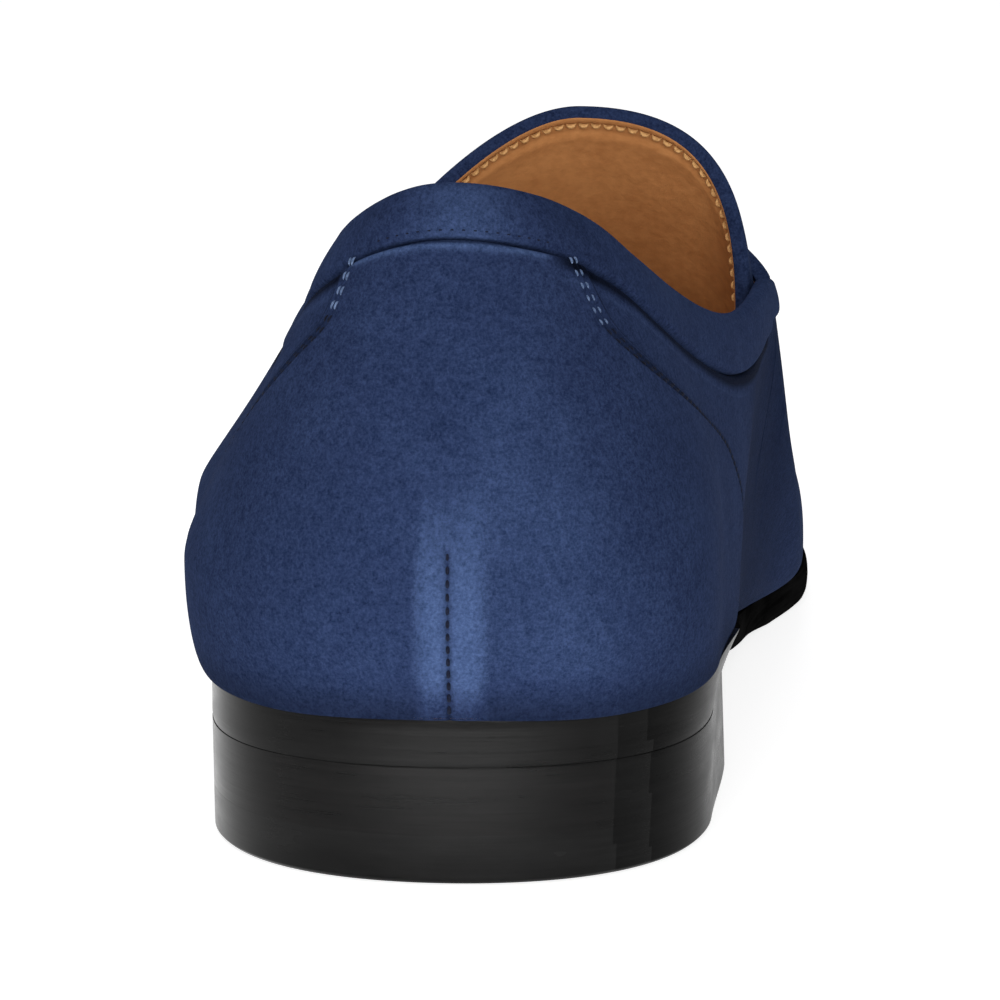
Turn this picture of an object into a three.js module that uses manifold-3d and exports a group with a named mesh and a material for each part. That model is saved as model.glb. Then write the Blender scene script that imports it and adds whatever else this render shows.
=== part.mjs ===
// Bit loafer, left shoe, standing empty on its heel and the ball of its sole.
// Millimetres. +Y runs to the toe, +X to the medial side, +Z up.
// The origin is on the floor, in the middle of the heel's resting face.
import * as THREE from 'three';
import Module from 'manifold-3d';
import { mergeVertices } from 'three/addons/utils/BufferGeometryUtils.js';

// Overall sizes
const LAST_LENGTH = 288;
const BALL_WIDTH = 94;
const BACK_HEIGHT = 90.5;
const HEEL_HEIGHT = 21.6;
const HEEL_LENGTH = 72;
// Walls and layers
const WALL = 2.2;
const COUNTER_STEP = 0.8;
const COUNTER_EDGE = 0.8;
const STEP_RUN = 0.05;
const GAP = 0.3;
const OVERLAY_GAP = 0.45;
const BIT_GAP = 0.7;
const TONGUE_GAP = 0.45;
const INSOLE_THICKNESS = 3.2;
const INSOLE_MARGIN = 0.8;
const SOLE_RIM = 2.4;
const TOP_LIFT_THICKNESS = 6.4;
const HEEL_LIFT_THICKNESS = 9;
const HEEL_TAPER = 0.15;
const HEEL_CORNER = 0.9;
const BREAST_HOLLOW = 3;
const FLOOR = 0;
// Collar band
const BAND_HEIGHT_BACK = 7.2;
const BAND_HEIGHT_SIDE = 8.6;
const BAND_THICKNESS = 1.3;
const BAND_RECESS = 1.1;
const BAND_CAP = 1.6;
// Tongue, apron, strap and bit
const TONGUE_THICKNESS = 2.4;
const APRON_THICKNESS = 1.3;
const SEAM_RADIUS = 1.3;
const STRAP_THICKNESS = 1.4;
const BIT_BAR_RADIUS = 1.9;
const BIT_RING_RADIUS = 7.5;
const BIT_WIRE_RADIUS = 1.6;
const KEEPER_THICKNESS = 1.1;
const KEEPER_WIDTH = 5;
const KEEPER_PLACE = 3.9;
const BIT_SPAN = 31;

// Where the last's parts lie along its length, as shares of it
const HEEL_CAP = 0.135;
const TOE_CAP = 0.26;
const HEEL_SQUARENESS = 0.05;
const TOE_SQUARENESS = 0.06;
const SIDE_END = 0.385;
const THROAT = 0.47;
const TONGUE_TIP = 0.385;
const TONGUE_ROOT = 0.56;
const APRON_START = 0.574;
const APRON_END = 0.925;
const STRAP_BACK = 0.472;
const STRAP_FRONT = 0.566;
const BIT_LINE = 0.519;
// Where they lie round the section, as shares from sole to ridge
const LOWER = 0.2;
const APRON_GAP = 0.38;
const APRON_POWER = 2.6;
const APRON_INSET = 0.965;
const SEAM_DRIFT = 1.09;
const SEAM_STRETCH = 1.022;
const STRAP_END = 0.52;
const TONGUE_TUCK = 0.14;

const HALF_TURN = Math.PI / 2;
const PROBE = 0.004;
const SLIVER = 1e-7;
const WELD = 1e-4;
const BACK_Y = -HEEL_LENGTH / 2;

// Sections of the last. Widths, the medial hollow under the arch and the ridge's
// place are shares of BALL_WIDTH. The rise to the widest point and the top are
// shares of BACK_HEIGHT. The up and over columns say how far each side stays
// upright and how far its top stays level.
const SECTIONS = [
  {
    along: 0.00, medialSole: 0.356, lateralSole: 0.366, medialWide: 0.390, lateralWide: 0.388,
    medialRise: 0.166, lateralRise: 0.166, medialHollow: 0.000, ridge: 0.000, top: 1.238,
    medialUp: 0.22, medialOver: 0.16, lateralUp: 0.22, lateralOver: 0.16,
  },
  {
    along: 0.13, medialSole: 0.353, lateralSole: 0.368, medialWide: 0.357, lateralWide: 0.396,
    medialRise: 0.168, lateralRise: 0.166, medialHollow: 0.000, ridge: 0.032, top: 1.204,
    medialUp: 0.38, medialOver: 0.30, lateralUp: 0.12, lateralOver: 0.02,
  },
  {
    along: 0.25, medialSole: 0.366, lateralSole: 0.372, medialWide: 0.388, lateralWide: 0.419,
    medialRise: 0.230, lateralRise: 0.243, medialHollow: 0.005, ridge: 0.096, top: 1.116,
    medialUp: 0.57, medialOver: 0.52, lateralUp: 0.04, lateralOver: 0.05,
  },
  {
    along: 0.385, medialSole: 0.355, lateralSole: 0.404, medialWide: 0.421, lateralWide: 0.403,
    medialRise: 0.504, lateralRise: 0.287, medialHollow: 0.015, ridge: 0.127, top: 1.033,
    medialUp: 0.49, medialOver: 0.88, lateralUp: 0.16, lateralOver: 0.44,
  },
  {
    along: 0.52, medialSole: 0.360, lateralSole: 0.455, medialWide: 0.464, lateralWide: 0.475,
    medialRise: 0.241, lateralRise: 0.199, medialHollow: 0.023, ridge: 0.128, top: 0.751,
    medialUp: 0.42, medialOver: 0.39, lateralUp: 0.30, lateralOver: 0.30,
  },
  {
    along: 0.61, medialSole: 0.395, lateralSole: 0.495, medialWide: 0.477, lateralWide: 0.505,
    medialRise: 0.075, lateralRise: 0.140, medialHollow: 0.000, ridge: 0.112, top: 0.620,
    medialUp: 0.50, medialOver: 0.53, lateralUp: 0.37, lateralOver: 0.40,
  },
  {
    along: 0.7, medialSole: 0.457, lateralSole: 0.505, medialWide: 0.476, lateralWide: 0.512,
    medialRise: 0.095, lateralRise: 0.105, medialHollow: 0.000, ridge: 0.085, top: 0.510,
    medialUp: 0.50, medialOver: 0.60, lateralUp: 0.44, lateralOver: 0.52,
  },
  {
    along: 0.8, medialSole: 0.447, lateralSole: 0.470, medialWide: 0.457, lateralWide: 0.475,
    medialRise: 0.090, lateralRise: 0.090, medialHollow: 0.000, ridge: 0.060, top: 0.420,
    medialUp: 0.50, medialOver: 0.60, lateralUp: 0.50, lateralOver: 0.55,
  },
  {
    along: 1.00, medialSole: 0.362, lateralSole: 0.383, medialWide: 0.372, lateralWide: 0.394,
    medialRise: 0.077, lateralRise: 0.077, medialHollow: 0.000, ridge: 0.045, top: 0.330,
    medialUp: 0.50, medialOver: 0.60, lateralUp: 0.50, lateralOver: 0.60,
  },
];

// Heights of the outsole's upper face, as shares of HEEL_HEIGHT
const SOLE_TOP = [
  { along: 0.00, top: 1.008 },
  { along: 0.05, top: 1.030 },
  { along: 0.12, top: 1.030 },
  { along: 0.24, top: 0.955 },
  { along: 0.36, top: 0.715 },
  { along: 0.48, top: 0.435 },
  { along: 0.58, top: 0.285 },
  { along: 0.68, top: 0.245 },
  { along: 0.80, top: 0.297 },
  { along: 0.90, top: 0.430 },
  { along: 1.00, top: 0.630 },
];

// How far the outsole's upper and lower edges stand out past the last, as shares
// of SOLE_RIM
const RIM = [
  { along: 0.000, medial: 0.00, medialLow: 0.00, lateral: 0.00, lateralLow: 0.00 },
  { along: 0.130, medial: 0.38, medialLow: 0.00, lateral: 0.00, lateralLow: 0.00 },
  { along: 0.250, medial: 0.83, medialLow: -0.29, lateral: 0.00, lateralLow: 0.00 },
  { along: 0.385, medial: 0.85, medialLow: 0.50, lateral: 0.40, lateralLow: 0.40 },
  { along: 0.500, medial: 1.00, medialLow: 1.00, lateral: 1.00, lateralLow: 1.00 },
  { along: 0.600, medial: 1.00, medialLow: 1.00, lateral: 1.00, lateralLow: 1.00 },
  { along: 1.000, medial: 1.00, medialLow: 1.00, lateral: 1.00, lateralLow: 1.00 },
];

// Heights of its lower face forward of the heel; below the floor means flat
const BREAST = HEEL_LENGTH / LAST_LENGTH;
const HEEL_SEAT = HEEL_LIFT_THICKNESS + TOP_LIFT_THICKNESS;
const SOLE_BOTTOM = [
  { along: BREAST, bottom: HEEL_SEAT / HEEL_HEIGHT },
  { along: 0.36, bottom: 0.475 },
  { along: 0.48, bottom: 0.200 },
  { along: 0.58, bottom: 0.060 },
  { along: 0.64, bottom: -0.010 },
  { along: 0.72, bottom: -0.010 },
  { along: 0.80, bottom: 0.045 },
  { along: 0.90, bottom: 0.190 },
  { along: 1.00, bottom: 0.400 },
];

// Profile of the back seam: setback forward of the heel's back, as a share of
// HEEL_LENGTH, at heights that are shares of BACK_HEIGHT
const BACK_PROFILE = [
  { height: 0.246, setback: 0.000 },
  { height: 0.376, setback: -0.044 },
  { height: 0.497, setback: -0.042 },
  { height: 0.663, setback: -0.007 },
  { height: 0.829, setback: 0.042 },
  { height: 0.994, setback: 0.090 },
  { height: 1.105, setback: 0.125 },
  { height: 1.238, setback: 0.167 },
];

// Profile of the toe: setback behind the last's length, as a share of it, at
// shares of the way up from sole to ridge
const TOE_PROFILE = [
  { up: 0.00, setback: 0.000 },
  { up: 0.15, setback: -0.003 },
  { up: 0.35, setback: 0.002 },
  { up: 0.60, setback: 0.014 },
  { up: 0.80, setback: 0.031 },
  { up: 1.00, setback: 0.076 },
];

// Height of the topline, as shares of BACK_HEIGHT
const TOPLINE = [
  { along: 0.000, medial: 1.000, lateral: 1.000 },
  { along: 0.030, medial: 0.968, lateral: 0.956 },
  { along: 0.062, medial: 0.924, lateral: 0.918 },
  { along: 0.090, medial: 0.876, lateral: 0.888 },
  { along: 0.134, medial: 0.820, lateral: 0.845 },
  { along: 0.204, medial: 0.749, lateral: 0.777 },
  { along: 0.269, medial: 0.714, lateral: 0.735 },
  { along: 0.330, medial: 0.712, lateral: 0.722 },
  { along: 0.385, medial: 0.722, lateral: 0.735 },
];

// Edge of the back counter: share of the perimeter at shares of BACK_HEIGHT
const COUNTER_LINE = [
  { height: 0.246, medial: 0.190, lateral: 0.200 },
  { height: 0.433, medial: 0.176, lateral: 0.190 },
  { height: 0.573, medial: 0.141, lateral: 0.155 },
  { height: 0.655, medial: 0.116, lateral: 0.128 },
  { height: 0.735, medial: 0.094, lateral: 0.100 },
  { height: 0.800, medial: 0.079, lateral: 0.082 },
  { height: 1.000, medial: 0.070, lateral: 0.078 },
];

// Columns and rows of the faceted surfaces
const COLUMNS_COUNTER = 7;
const COLUMNS_SIDE = 9;
const BAND_END = 0.45;
const THROAT_SHARES = [0.2, BAND_END, BAND_END + 0.02, 0.7, 0.86, 0.96, 1];
const COLUMNS_VAMP = 12;
const VAMP_CROWD = 1.4;
const ROWS = 14;
const APRON_COLUMNS = 8;
const STRAP_COLUMNS = 10;
const TONGUE_COLUMNS = 8;
const SOLE_COLUMNS = 28;

// Surface of the last

function clamp(value, low, high) {
  return Math.min(high, Math.max(low, value));
}

function mix(from, to, share) {
  return from + (to - from) * share;
}

function smooth(share) {
  const s = clamp(share, 0, 1);
  return s * s * (3 - 2 * s);
}

// Smooth curve through one column of a table
function column(table, key, name, value) {
  const last = table.length - 1;
  const at = clamp(value, table[0][key], table[last][key]);
  let i = 0;
  while (i < last - 1 && table[i + 1][key] <= at) {
    i += 1;
  }
  const slope = (k) => {
    const a = table[Math.max(k - 1, 0)];
    const b = table[Math.min(k + 1, last)];
    return (b[name] - a[name]) / (b[key] - a[key]);
  };
  const from = table[i];
  const to = table[i + 1];
  const span = to[key] - from[key];
  const s = (at - from[key]) / span;
  return (2 * s ** 3 - 3 * s ** 2 + 1) * from[name]
    + (s ** 3 - 2 * s ** 2 + s) * span * slope(i)
    + (3 * s ** 2 - 2 * s ** 3) * to[name]
    + (s ** 3 - s ** 2) * span * slope(i + 1);
}

const HEEL_ARC = HEEL_CAP * HALF_TURN;
const TOE_ARC = TOE_CAP * HALF_TURN;
const HALF_PERIMETER = HEEL_ARC + (1 - HEEL_CAP - TOE_CAP) + TOE_ARC;

// Plan of the last: round is -1 at the toe, 0 at the back seam and 1 at the toe
// again, and gives the share along the last and the share of its width there
function plan(round) {
  const run = Math.abs(round) * HALF_PERIMETER;
  if (run < HEEL_ARC) {
    const turn = run / HEEL_CAP;
    const square = 1 + HEEL_SQUARENESS * Math.sin(2 * turn) ** 2;
    return { along: HEEL_CAP * (1 - Math.cos(turn) * square), width: Math.sin(turn) * square };
  }
  const left = HALF_PERIMETER - run;
  if (left < TOE_ARC) {
    const turn = left / TOE_CAP;
    const square = 1 + TOE_SQUARENESS * Math.sin(2 * turn) ** 2;
    return { along: 1 - TOE_CAP * (1 - Math.cos(turn) * square), width: Math.sin(turn) * square };
  }
  return { along: HEEL_CAP + run - HEEL_ARC, width: 1 };
}

// Share of the perimeter at which the last reaches a share of its length
function roundAt(along) {
  let low = 0;
  let high = 1;
  for (let i = 0; i < 40; i += 1) {
    const middle = (low + high) / 2;
    if (plan(middle).along < along) {
      low = middle;
    } else {
      high = middle;
    }
  }
  return (low + high) / 2;
}

function soleTop(along) {
  return column(SOLE_TOP, 'along', 'top', along) * HEEL_HEIGHT;
}

function soleBottom(along) {
  return Math.max(FLOOR, column(SOLE_BOTTOM, 'along', 'bottom', along) * HEEL_HEIGHT);
}

// Point on the last: rise is 0 at the sole and 1 at the ridge
function lastPoint(round, rise) {
  const { along, width } = plan(round);
  const side = round < 0 ? 'lateral' : 'medial';
  const sign = round < 0 ? -1 : 1;
  const read = (name) => column(SECTIONS, 'along', name, along);
  const foot = sign * read(side + 'Sole') * BALL_WIDTH;
  const wide = sign * read(side + 'Wide') * BALL_WIDTH;
  const ridge = read('ridge') * BALL_WIDTH;
  const bottom = soleTop(along);
  const middle = bottom + read(side + 'Rise') * BACK_HEIGHT;
  const top = read('top') * BACK_HEIGHT;
  let x;
  let z;
  if (rise < LOWER) {
    const turn = (rise / LOWER) * HALF_TURN;
    const lift = 1 - Math.cos(turn);
    const hollow = side === 'medial' ? read('medialHollow') * BALL_WIDTH : 0;
    x = foot + (wide - foot) * Math.sin(turn) - hollow * (4 * lift * (1 - lift)) ** 2;
    z = bottom + (middle - bottom) * lift;
  } else {
    const s = (rise - LOWER) / (1 - LOWER);
    const out = (1 - s) ** 2 * (1 + 2 * s) + 3 * (1 - s) * s * s * read(side + 'Over');
    const up = 3 * (1 - s) ** 2 * s * read(side + 'Up') + 3 * (1 - s) * s * s + s ** 3;
    x = ridge + (wide - ridge) * out;
    z = middle + (top - middle) * up;
  }
  const share = (z - bottom) / (top - bottom);
  const back = BACK_Y + column(BACK_PROFILE, 'height', 'setback', z / BACK_HEIGHT) * HEEL_LENGTH;
  const toe = BACK_Y + LAST_LENGTH * (1 - column(TOE_PROFILE, 'up', 'setback', share));
  const centre = ridge * clamp((along - 0.5) / 0.2, 0, 1);
  return new THREE.Vector3(centre + (x - centre) * width, mix(back, toe, along), z);
}

// Outward direction of the last's surface
function lastNormal(round, rise) {
  const r0 = clamp(round - PROBE, -1, 1);
  const r1 = clamp(round + PROBE, -1, 1);
  const s0 = clamp(rise - PROBE, 0, 1);
  const s1 = clamp(rise + PROBE, 0, 1);
  const across = lastPoint(r1, rise).sub(lastPoint(r0, rise));
  const up = lastPoint(round, s1).sub(lastPoint(round, s0));
  return across.cross(up).normalize();
}

// The toe's own line and the ridge belong to both sides, so both read it alike
function surface(round, rise, out) {
  const shared = rise >= 1 || Math.abs(round) >= 1 ? Math.abs(round) : round;
  const point = lastPoint(shared, rise);
  const normal = lastNormal(shared, rise);
  if (Math.abs(shared) >= 1) {
    normal.x = 0;
    normal.normalize();
  }
  return point.addScaledVector(normal, out);
}

// Rise at which one side's section reaches a height
function riseAt(round, height) {
  let low = 0;
  let high = 1;
  for (let i = 0; i < 30; i += 1) {
    const middle = (low + high) / 2;
    if (lastPoint(round, middle).z < height) {
      low = middle;
    } else {
      high = middle;
    }
  }
  return (low + high) / 2;
}

function toplineHeight(round) {
  const side = round < 0 ? 'lateral' : 'medial';
  return column(TOPLINE, 'along', side, plan(round).along) * BACK_HEIGHT;
}

// Rise of the opening's edge, drop below it: up the sides and over the throat
function toplineRise(round, drop) {
  const along = plan(round).along;
  if (along <= SIDE_END) {
    return riseAt(round, toplineHeight(round) - drop);
  }
  if (along >= THROAT) {
    return 1;
  }
  const sign = round < 0 ? -1 : 1;
  const side = sign * roundAt(SIDE_END);
  const start = riseAt(side, toplineHeight(side) - drop);
  const share = (along - SIDE_END) / (THROAT - SIDE_END);
  return start + (1 - start) * (1 - Math.sqrt(1 - share * share));
}

// Perimeter share of the counter's edge on one side, at a height
function counterRound(sign, height) {
  return column(COUNTER_LINE, 'height', sign < 0 ? 'lateral' : 'medial', height / BACK_HEIGHT);
}

// Building closed solids

function signedVolume(triangles) {
  return triangles.reduce((sum, [a, b, c]) => sum + a.dot(b.clone().cross(c)) / 6, 0);
}

function solid(name, triangles, colour, roughness) {
  const positions = [];
  const inward = signedVolume(triangles) < 0;
  for (const [a, b, c] of triangles) {
    const area = b.clone().sub(a).cross(c.clone().sub(a)).length();
    if (area > SLIVER) {
      for (const p of inward ? [a, c, b] : [a, b, c]) {
        positions.push(p.x, p.y, p.z);
      }
    }
  }
  const geometry = new THREE.BufferGeometry();
  geometry.setAttribute('position', new THREE.Float32BufferAttribute(positions, 3));
  const merged = mergeVertices(geometry, WELD);
  merged.computeVertexNormals();
  const mesh = new THREE.Mesh(merged, new THREE.MeshStandardMaterial({ color: colour, roughness }));
  mesh.name = name;
  return mesh;
}

function quad(triangles, a, b, c, d) {
  triangles.push([a, b, c], [a, c, d]);
}

// End of a loft: joins the first half of the ring to its second half
function cap(triangles, ring, flip) {
  const last = ring.length - 1;
  for (let i = 0; i + 1 < last - i; i += 1) {
    const corners = [ring[i], ring[i + 1], ring[last - i - 1], ring[last - i]];
    if (flip) {
      corners.reverse();
    }
    quad(triangles, ...corners);
  }
}

// Solid through closed rings of points, with flat ends
function loft(rings, ends) {
  const triangles = [];
  for (let i = 0; i + 1 < rings.length; i += 1) {
    const here = rings[i];
    const next = rings[i + 1];
    for (let k = 0; k < here.length; k += 1) {
      const n = (k + 1) % here.length;
      quad(triangles, here[k], here[n], next[n], next[k]);
    }
  }
  if (ends) {
    cap(triangles, rings[0], true);
    cap(triangles, rings[rings.length - 1], false);
  }
  return triangles;
}

// Columns of the upper from the back seam to the toe: close together at the
// counter's edge, the band's end and the start of the vamp
function upperColumns() {
  const list = [];
  const add = (zone, share, banded) => list.push({ zone, share, banded });
  for (let i = 0; i <= COLUMNS_COUNTER; i += 1) {
    add('counter', i / COLUMNS_COUNTER, true);
  }
  for (let i = 0; i <= COLUMNS_SIDE; i += 1) {
    add('side', i / COLUMNS_SIDE, true);
  }
  THROAT_SHARES.forEach((share) => add('throat', share, share <= BAND_END));
  for (let i = 1; i <= COLUMNS_VAMP; i += 1) {
    add('vamp', (i / COLUMNS_VAMP) ** VAMP_CROWD, false);
  }
  return list;
}

// Perimeter share of a column at a height: the counter's edge runs slanted
function columnRound(entry, sign, height) {
  const side = roundAt(SIDE_END);
  const throat = roundAt(THROAT);
  const edge = counterRound(sign, height);
  const width = COUNTER_EDGE / LAST_LENGTH;
  if (entry.zone === 'counter') {
    return sign * edge * entry.share;
  }
  if (entry.zone === 'side') {
    return sign * mix(edge + width, side, entry.share);
  }
  if (entry.zone === 'throat') {
    const along = mix(SIDE_END, THROAT, entry.share);
    return sign * (entry.share >= 1 ? throat : roundAt(along));
  }
  return sign * mix(throat, 1, entry.share);
}

// Depth of the collar band below the topline
function bandDepth(round) {
  const share = smooth(Math.abs(round) / roundAt(HEEL_CAP));
  return mix(BAND_HEIGHT_BACK, BAND_HEIGHT_SIDE, share);
}

// A column's share of the perimeter where it meets the topline
function columnBase(entry, sign) {
  const open = entry.zone === 'counter' || entry.zone === 'side';
  let round = columnRound(entry, sign, BACK_HEIGHT);
  for (let i = 0; open && i < 6; i += 1) {
    round = columnRound(entry, sign, toplineHeight(round));
  }
  return round;
}

function columnPoint(entry, sign, base, rise, out) {
  const round = columnRound(entry, sign, lastPoint(base, rise).z);
  return surface(round, rise, out);
}

// One column's points from sole to topline, on the outside or the inside
function upperColumn(entry, sign, outside) {
  const base = columnBase(entry, sign);
  const closed = entry.zone === 'vamp' || (entry.zone === 'throat' && entry.share >= 1);
  const limit = closed ? 1 : toplineRise(base, entry.banded ? BAND_CAP + GAP : 0);
  const below = bandDepth(base) + GAP;
  const fold = entry.banded ? toplineRise(base, below) : limit * (1 - 3 / ROWS);
  const shelf = entry.banded ? toplineRise(base, below - STEP_RUN) : mix(fold, limit, 0.3);
  const raised = entry.zone === 'counter' ? COUNTER_STEP : 0;
  const sunk = entry.banded ? -BAND_RECESS : 0;
  const rises = [];
  for (let k = 0; k <= ROWS - 3; k += 1) {
    rises.push({ rise: fold * (k / (ROWS - 3)), out: raised });
  }
  rises.push({ rise: shelf, out: sunk });
  rises.push({ rise: mix(shelf, limit, 0.5), out: sunk });
  rises.push({ rise: limit, out: sunk });
  const points = rises.map(({ rise, out }) => columnPoint(entry, sign, base, rise, outside ? out : -WALL));
  const foot = columnRound(entry, sign, lastPoint(base, 0).z);
  points[0].z = soleTop(plan(foot).along) + GAP;
  return points;
}

function upper() {
  const columns = upperColumns();
  const triangles = [];
  const sides = [-1, 1].map((sign) => columns.map((entry) => ({
    entry,
    outer: upperColumn(entry, sign, true),
    inner: upperColumn(entry, sign, false),
  })));
  const strip = (a, b) => {
    for (let k = 0; k < ROWS; k += 1) {
      quad(triangles, a.outer[k], b.outer[k], b.outer[k + 1], a.outer[k + 1]);
      quad(triangles, b.inner[k], a.inner[k], a.inner[k + 1], b.inner[k + 1]);
    }
    quad(triangles, a.inner[0], b.inner[0], b.outer[0], a.outer[0]);
    if (a.entry.zone !== 'vamp' && b.entry.zone !== 'vamp') {
      quad(triangles, a.outer[ROWS], b.outer[ROWS], b.inner[ROWS], a.inner[ROWS]);
    }
  };
  const [lateral, medial] = sides;
  for (let i = 0; i + 1 < columns.length; i += 1) {
    strip(lateral[i + 1], lateral[i]);
    strip(medial[i], medial[i + 1]);
  }
  return solid('upper', triangles, 0x26325a, 0.95);
}

// Sole pieces

const ACROSS = [1, 0.72, 0.36, 0, -0.36, -0.72, -1];

// Outline of the last's sole, moved out by a rim
function soleEdge(round, rim) {
  const shared = Math.abs(round) >= 1 || round === 0 ? Math.abs(round) : round;
  const point = lastPoint(shared, 0);
  const ahead = lastPoint(clamp(shared + PROBE, -1, 1), 0);
  const behind = lastPoint(clamp(shared - PROBE, -1, 1), 0);
  const out = new THREE.Vector3(ahead.y - behind.y, behind.x - ahead.x, 0).normalize();
  if (Math.abs(shared) >= 1) {
    out.set(0, 1, 0);
  }
  if (shared === 0) {
    out.set(0, -1, 0);
  }
  return point.addScaledVector(out, rim);
}

// Line across a flat piece at one share of the perimeter, from medial to lateral
function slabRow(round, rim, height, hollow) {
  const medial = soleEdge(round, rim(round));
  const lateral = soleEdge(-round, rim(-round));
  return ACROSS.map((share) => {
    const x = mix(lateral.x, medial.x, (share + 1) / 2);
    const y = mix(lateral.y, medial.y, (share + 1) / 2) - hollow * (1 - share * share);
    return new THREE.Vector3(x, y, height);
  });
}

// Cross section of a flat piece: over its top, down the side and back below
function slabRing(round, topRim, bottomRim, top, bottom, hollow) {
  return [
    ...slabRow(round, topRim, top, hollow),
    ...slabRow(round, bottomRim, bottom, hollow).reverse(),
  ];
}

function soleRounds(end, count) {
  const list = [];
  const limit = end >= 1 ? 1 : roundAt(end);
  for (let i = 0; i <= count; i += 1) {
    list.push((i / count) * limit);
  }
  return list;
}

function rimAt(round) {
  const side = round < 0 ? 'lateral' : 'medial';
  return SOLE_RIM * column(RIM, 'along', side, plan(round).along);
}

function lowRimAt(round) {
  const side = round < 0 ? 'lateralLow' : 'medialLow';
  return SOLE_RIM * column(RIM, 'along', side, plan(round).along);
}

function outsole() {
  const front = soleRounds(1, SOLE_COLUMNS).filter((round) => plan(round).along > BREAST + 0.01);
  const rounds = [...soleRounds(BREAST, SOLE_COLUMNS / 2), ...front];
  const rings = rounds.map((round) => {
    const along = plan(round).along;
    return slabRing(round, rimAt, lowRimAt, soleTop(along), soleBottom(along), 0);
  });
  return solid('outsole', loft(rings, false), 0x1d1b1c, 0.45);
}

// A heel layer between two heights, drawn in downward from the outsole's edge
function heelLayer(name, top, bottom, colour, roughness) {
  const rings = soleRounds(BREAST, SOLE_COLUMNS / 2).map((round) => {
    const turn = Math.min(HALF_TURN, (round * HALF_PERIMETER) / HEEL_CAP);
    const corner = HEEL_TAPER + HEEL_CORNER * Math.sin(2 * turn) ** 2;
    const lay = (height) => (signed) => mix(-corner, lowRimAt(signed), height / HEEL_SEAT);
    const hollow = BREAST_HOLLOW * smooth((plan(round).along / BREAST - 0.5) / 0.5);
    return slabRing(round, lay(top), lay(bottom), top, bottom, hollow);
  });
  return solid(name, loft(rings, true), colour, roughness);
}

function heelLifts() {
  return [
    heelLayer('heel_block', HEEL_SEAT, TOP_LIFT_THICKNESS, 0x232122, 0.35),
    heelLayer('top_lift', TOP_LIFT_THICKNESS, FLOOR, 0x1c1b1b, 0.5),
  ];
}

function insole() {
  const inset = () => -WALL - INSOLE_MARGIN;
  const rings = soleRounds(1, SOLE_COLUMNS).map((round) => {
    const along = plan(round).along;
    const bottom = soleTop(along) + GAP;
    return slabRing(round, inset, inset, bottom + INSOLE_THICKNESS, bottom, 0);
  });
  return solid('insole', loft(rings, false), 0xa56b3c, 0.6);
}

// Pieces laid on or in the upper

// Band that folds over the topline, from one side of the throat round the back
function collarBand() {
  const banded = upperColumns().filter((entry) => entry.banded);
  const face = GAP - BAND_RECESS + BAND_THICKNESS;
  const section = (entry, sign) => {
    const base = columnBase(entry, sign);
    const deep = bandDepth(base);
    const at = (drop, out) => columnPoint(entry, sign, base, toplineRise(base, drop), out);
    return [
      at(deep, GAP - BAND_RECESS),
      at(deep * 0.5, GAP - BAND_RECESS),
      at(BAND_CAP, GAP - BAND_RECESS),
      at(BAND_CAP, -WALL),
      at(BAND_CAP * 0.4, -WALL),
      at(0, -WALL * 0.4),
      at(0, face * 0.5),
      at(BAND_CAP * 0.8, face),
      at(deep * 0.5, face),
      at(deep, face * 0.8),
    ];
  };
  const rings = [
    ...[...banded].reverse().map((entry) => section(entry, -1)),
    ...banded.slice(1).map((entry) => section(entry, 1)),
  ];
  return solid('collar_band', loft(rings, true), 0x26325a, 0.95);
}

// Rings of a patch of the surface, from edge to edge across the ridge. Its rise
// is read at shares from -1 at the lateral edge to 1 at the medial.
function patch(alongs, columns, riseOf, face, thickness) {
  return alongs.map((along) => {
    const ring = [];
    const place = (share, below) => {
      const signed = share < 0 ? -roundAt(along) : roundAt(along);
      return surface(signed, riseOf(along, share), face - below);
    };
    for (let k = -columns; k <= columns; k += 1) {
      ring.push(place(k / columns, 0));
    }
    for (let k = columns; k >= -columns; k -= 1) {
      ring.push(place(k / columns, thickness));
    }
    return ring;
  });
}

function between(from, to, count) {
  const list = [];
  for (let i = 0; i <= count; i += 1) {
    list.push(mix(from, to, i / count));
  }
  return list;
}

// Tongue: it stands up inside the throat, its sides and root under the upper
function tongue() {
  const riseOf = (along, share) => {
    const side = (share < 0 ? -1 : 1) * roundAt(Math.min(along, SIDE_END));
    return 1 - Math.abs(share) * (1 - toplineRise(side, 0) + TONGUE_TUCK);
  };
  const face = -WALL - TONGUE_GAP;
  const alongs = between(TONGUE_TIP, TONGUE_ROOT, 12);
  const rings = patch(alongs, TONGUE_COLUMNS, riseOf, face, TONGUE_THICKNESS);
  return solid('tongue', loft(rings, true), 0x2a3764, 0.95);
}

// Half width of the apron, as a share of the section, at a share along the last
function apronGap(along) {
  const share = clamp((along - APRON_START) / (APRON_END - APRON_START), 0, 1);
  return APRON_GAP * (1 - share ** APRON_POWER) ** (1 / APRON_POWER);
}

function apronAlongs(count) {
  const list = [];
  for (let i = 0; i <= count; i += 1) {
    list.push(mix(APRON_START, APRON_END, Math.sin((i / count) * HALF_TURN)));
  }
  return list;
}

function apron() {
  const riseOf = (along, share) => 1 - Math.abs(share) * apronGap(along) * APRON_INSET;
  const face = OVERLAY_GAP + APRON_THICKNESS;
  const rings = patch(apronAlongs(12), APRON_COLUMNS, riseOf, face, APRON_THICKNESS);
  return solid('apron', loft(rings, true), 0x26325a, 0.95);
}

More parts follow.
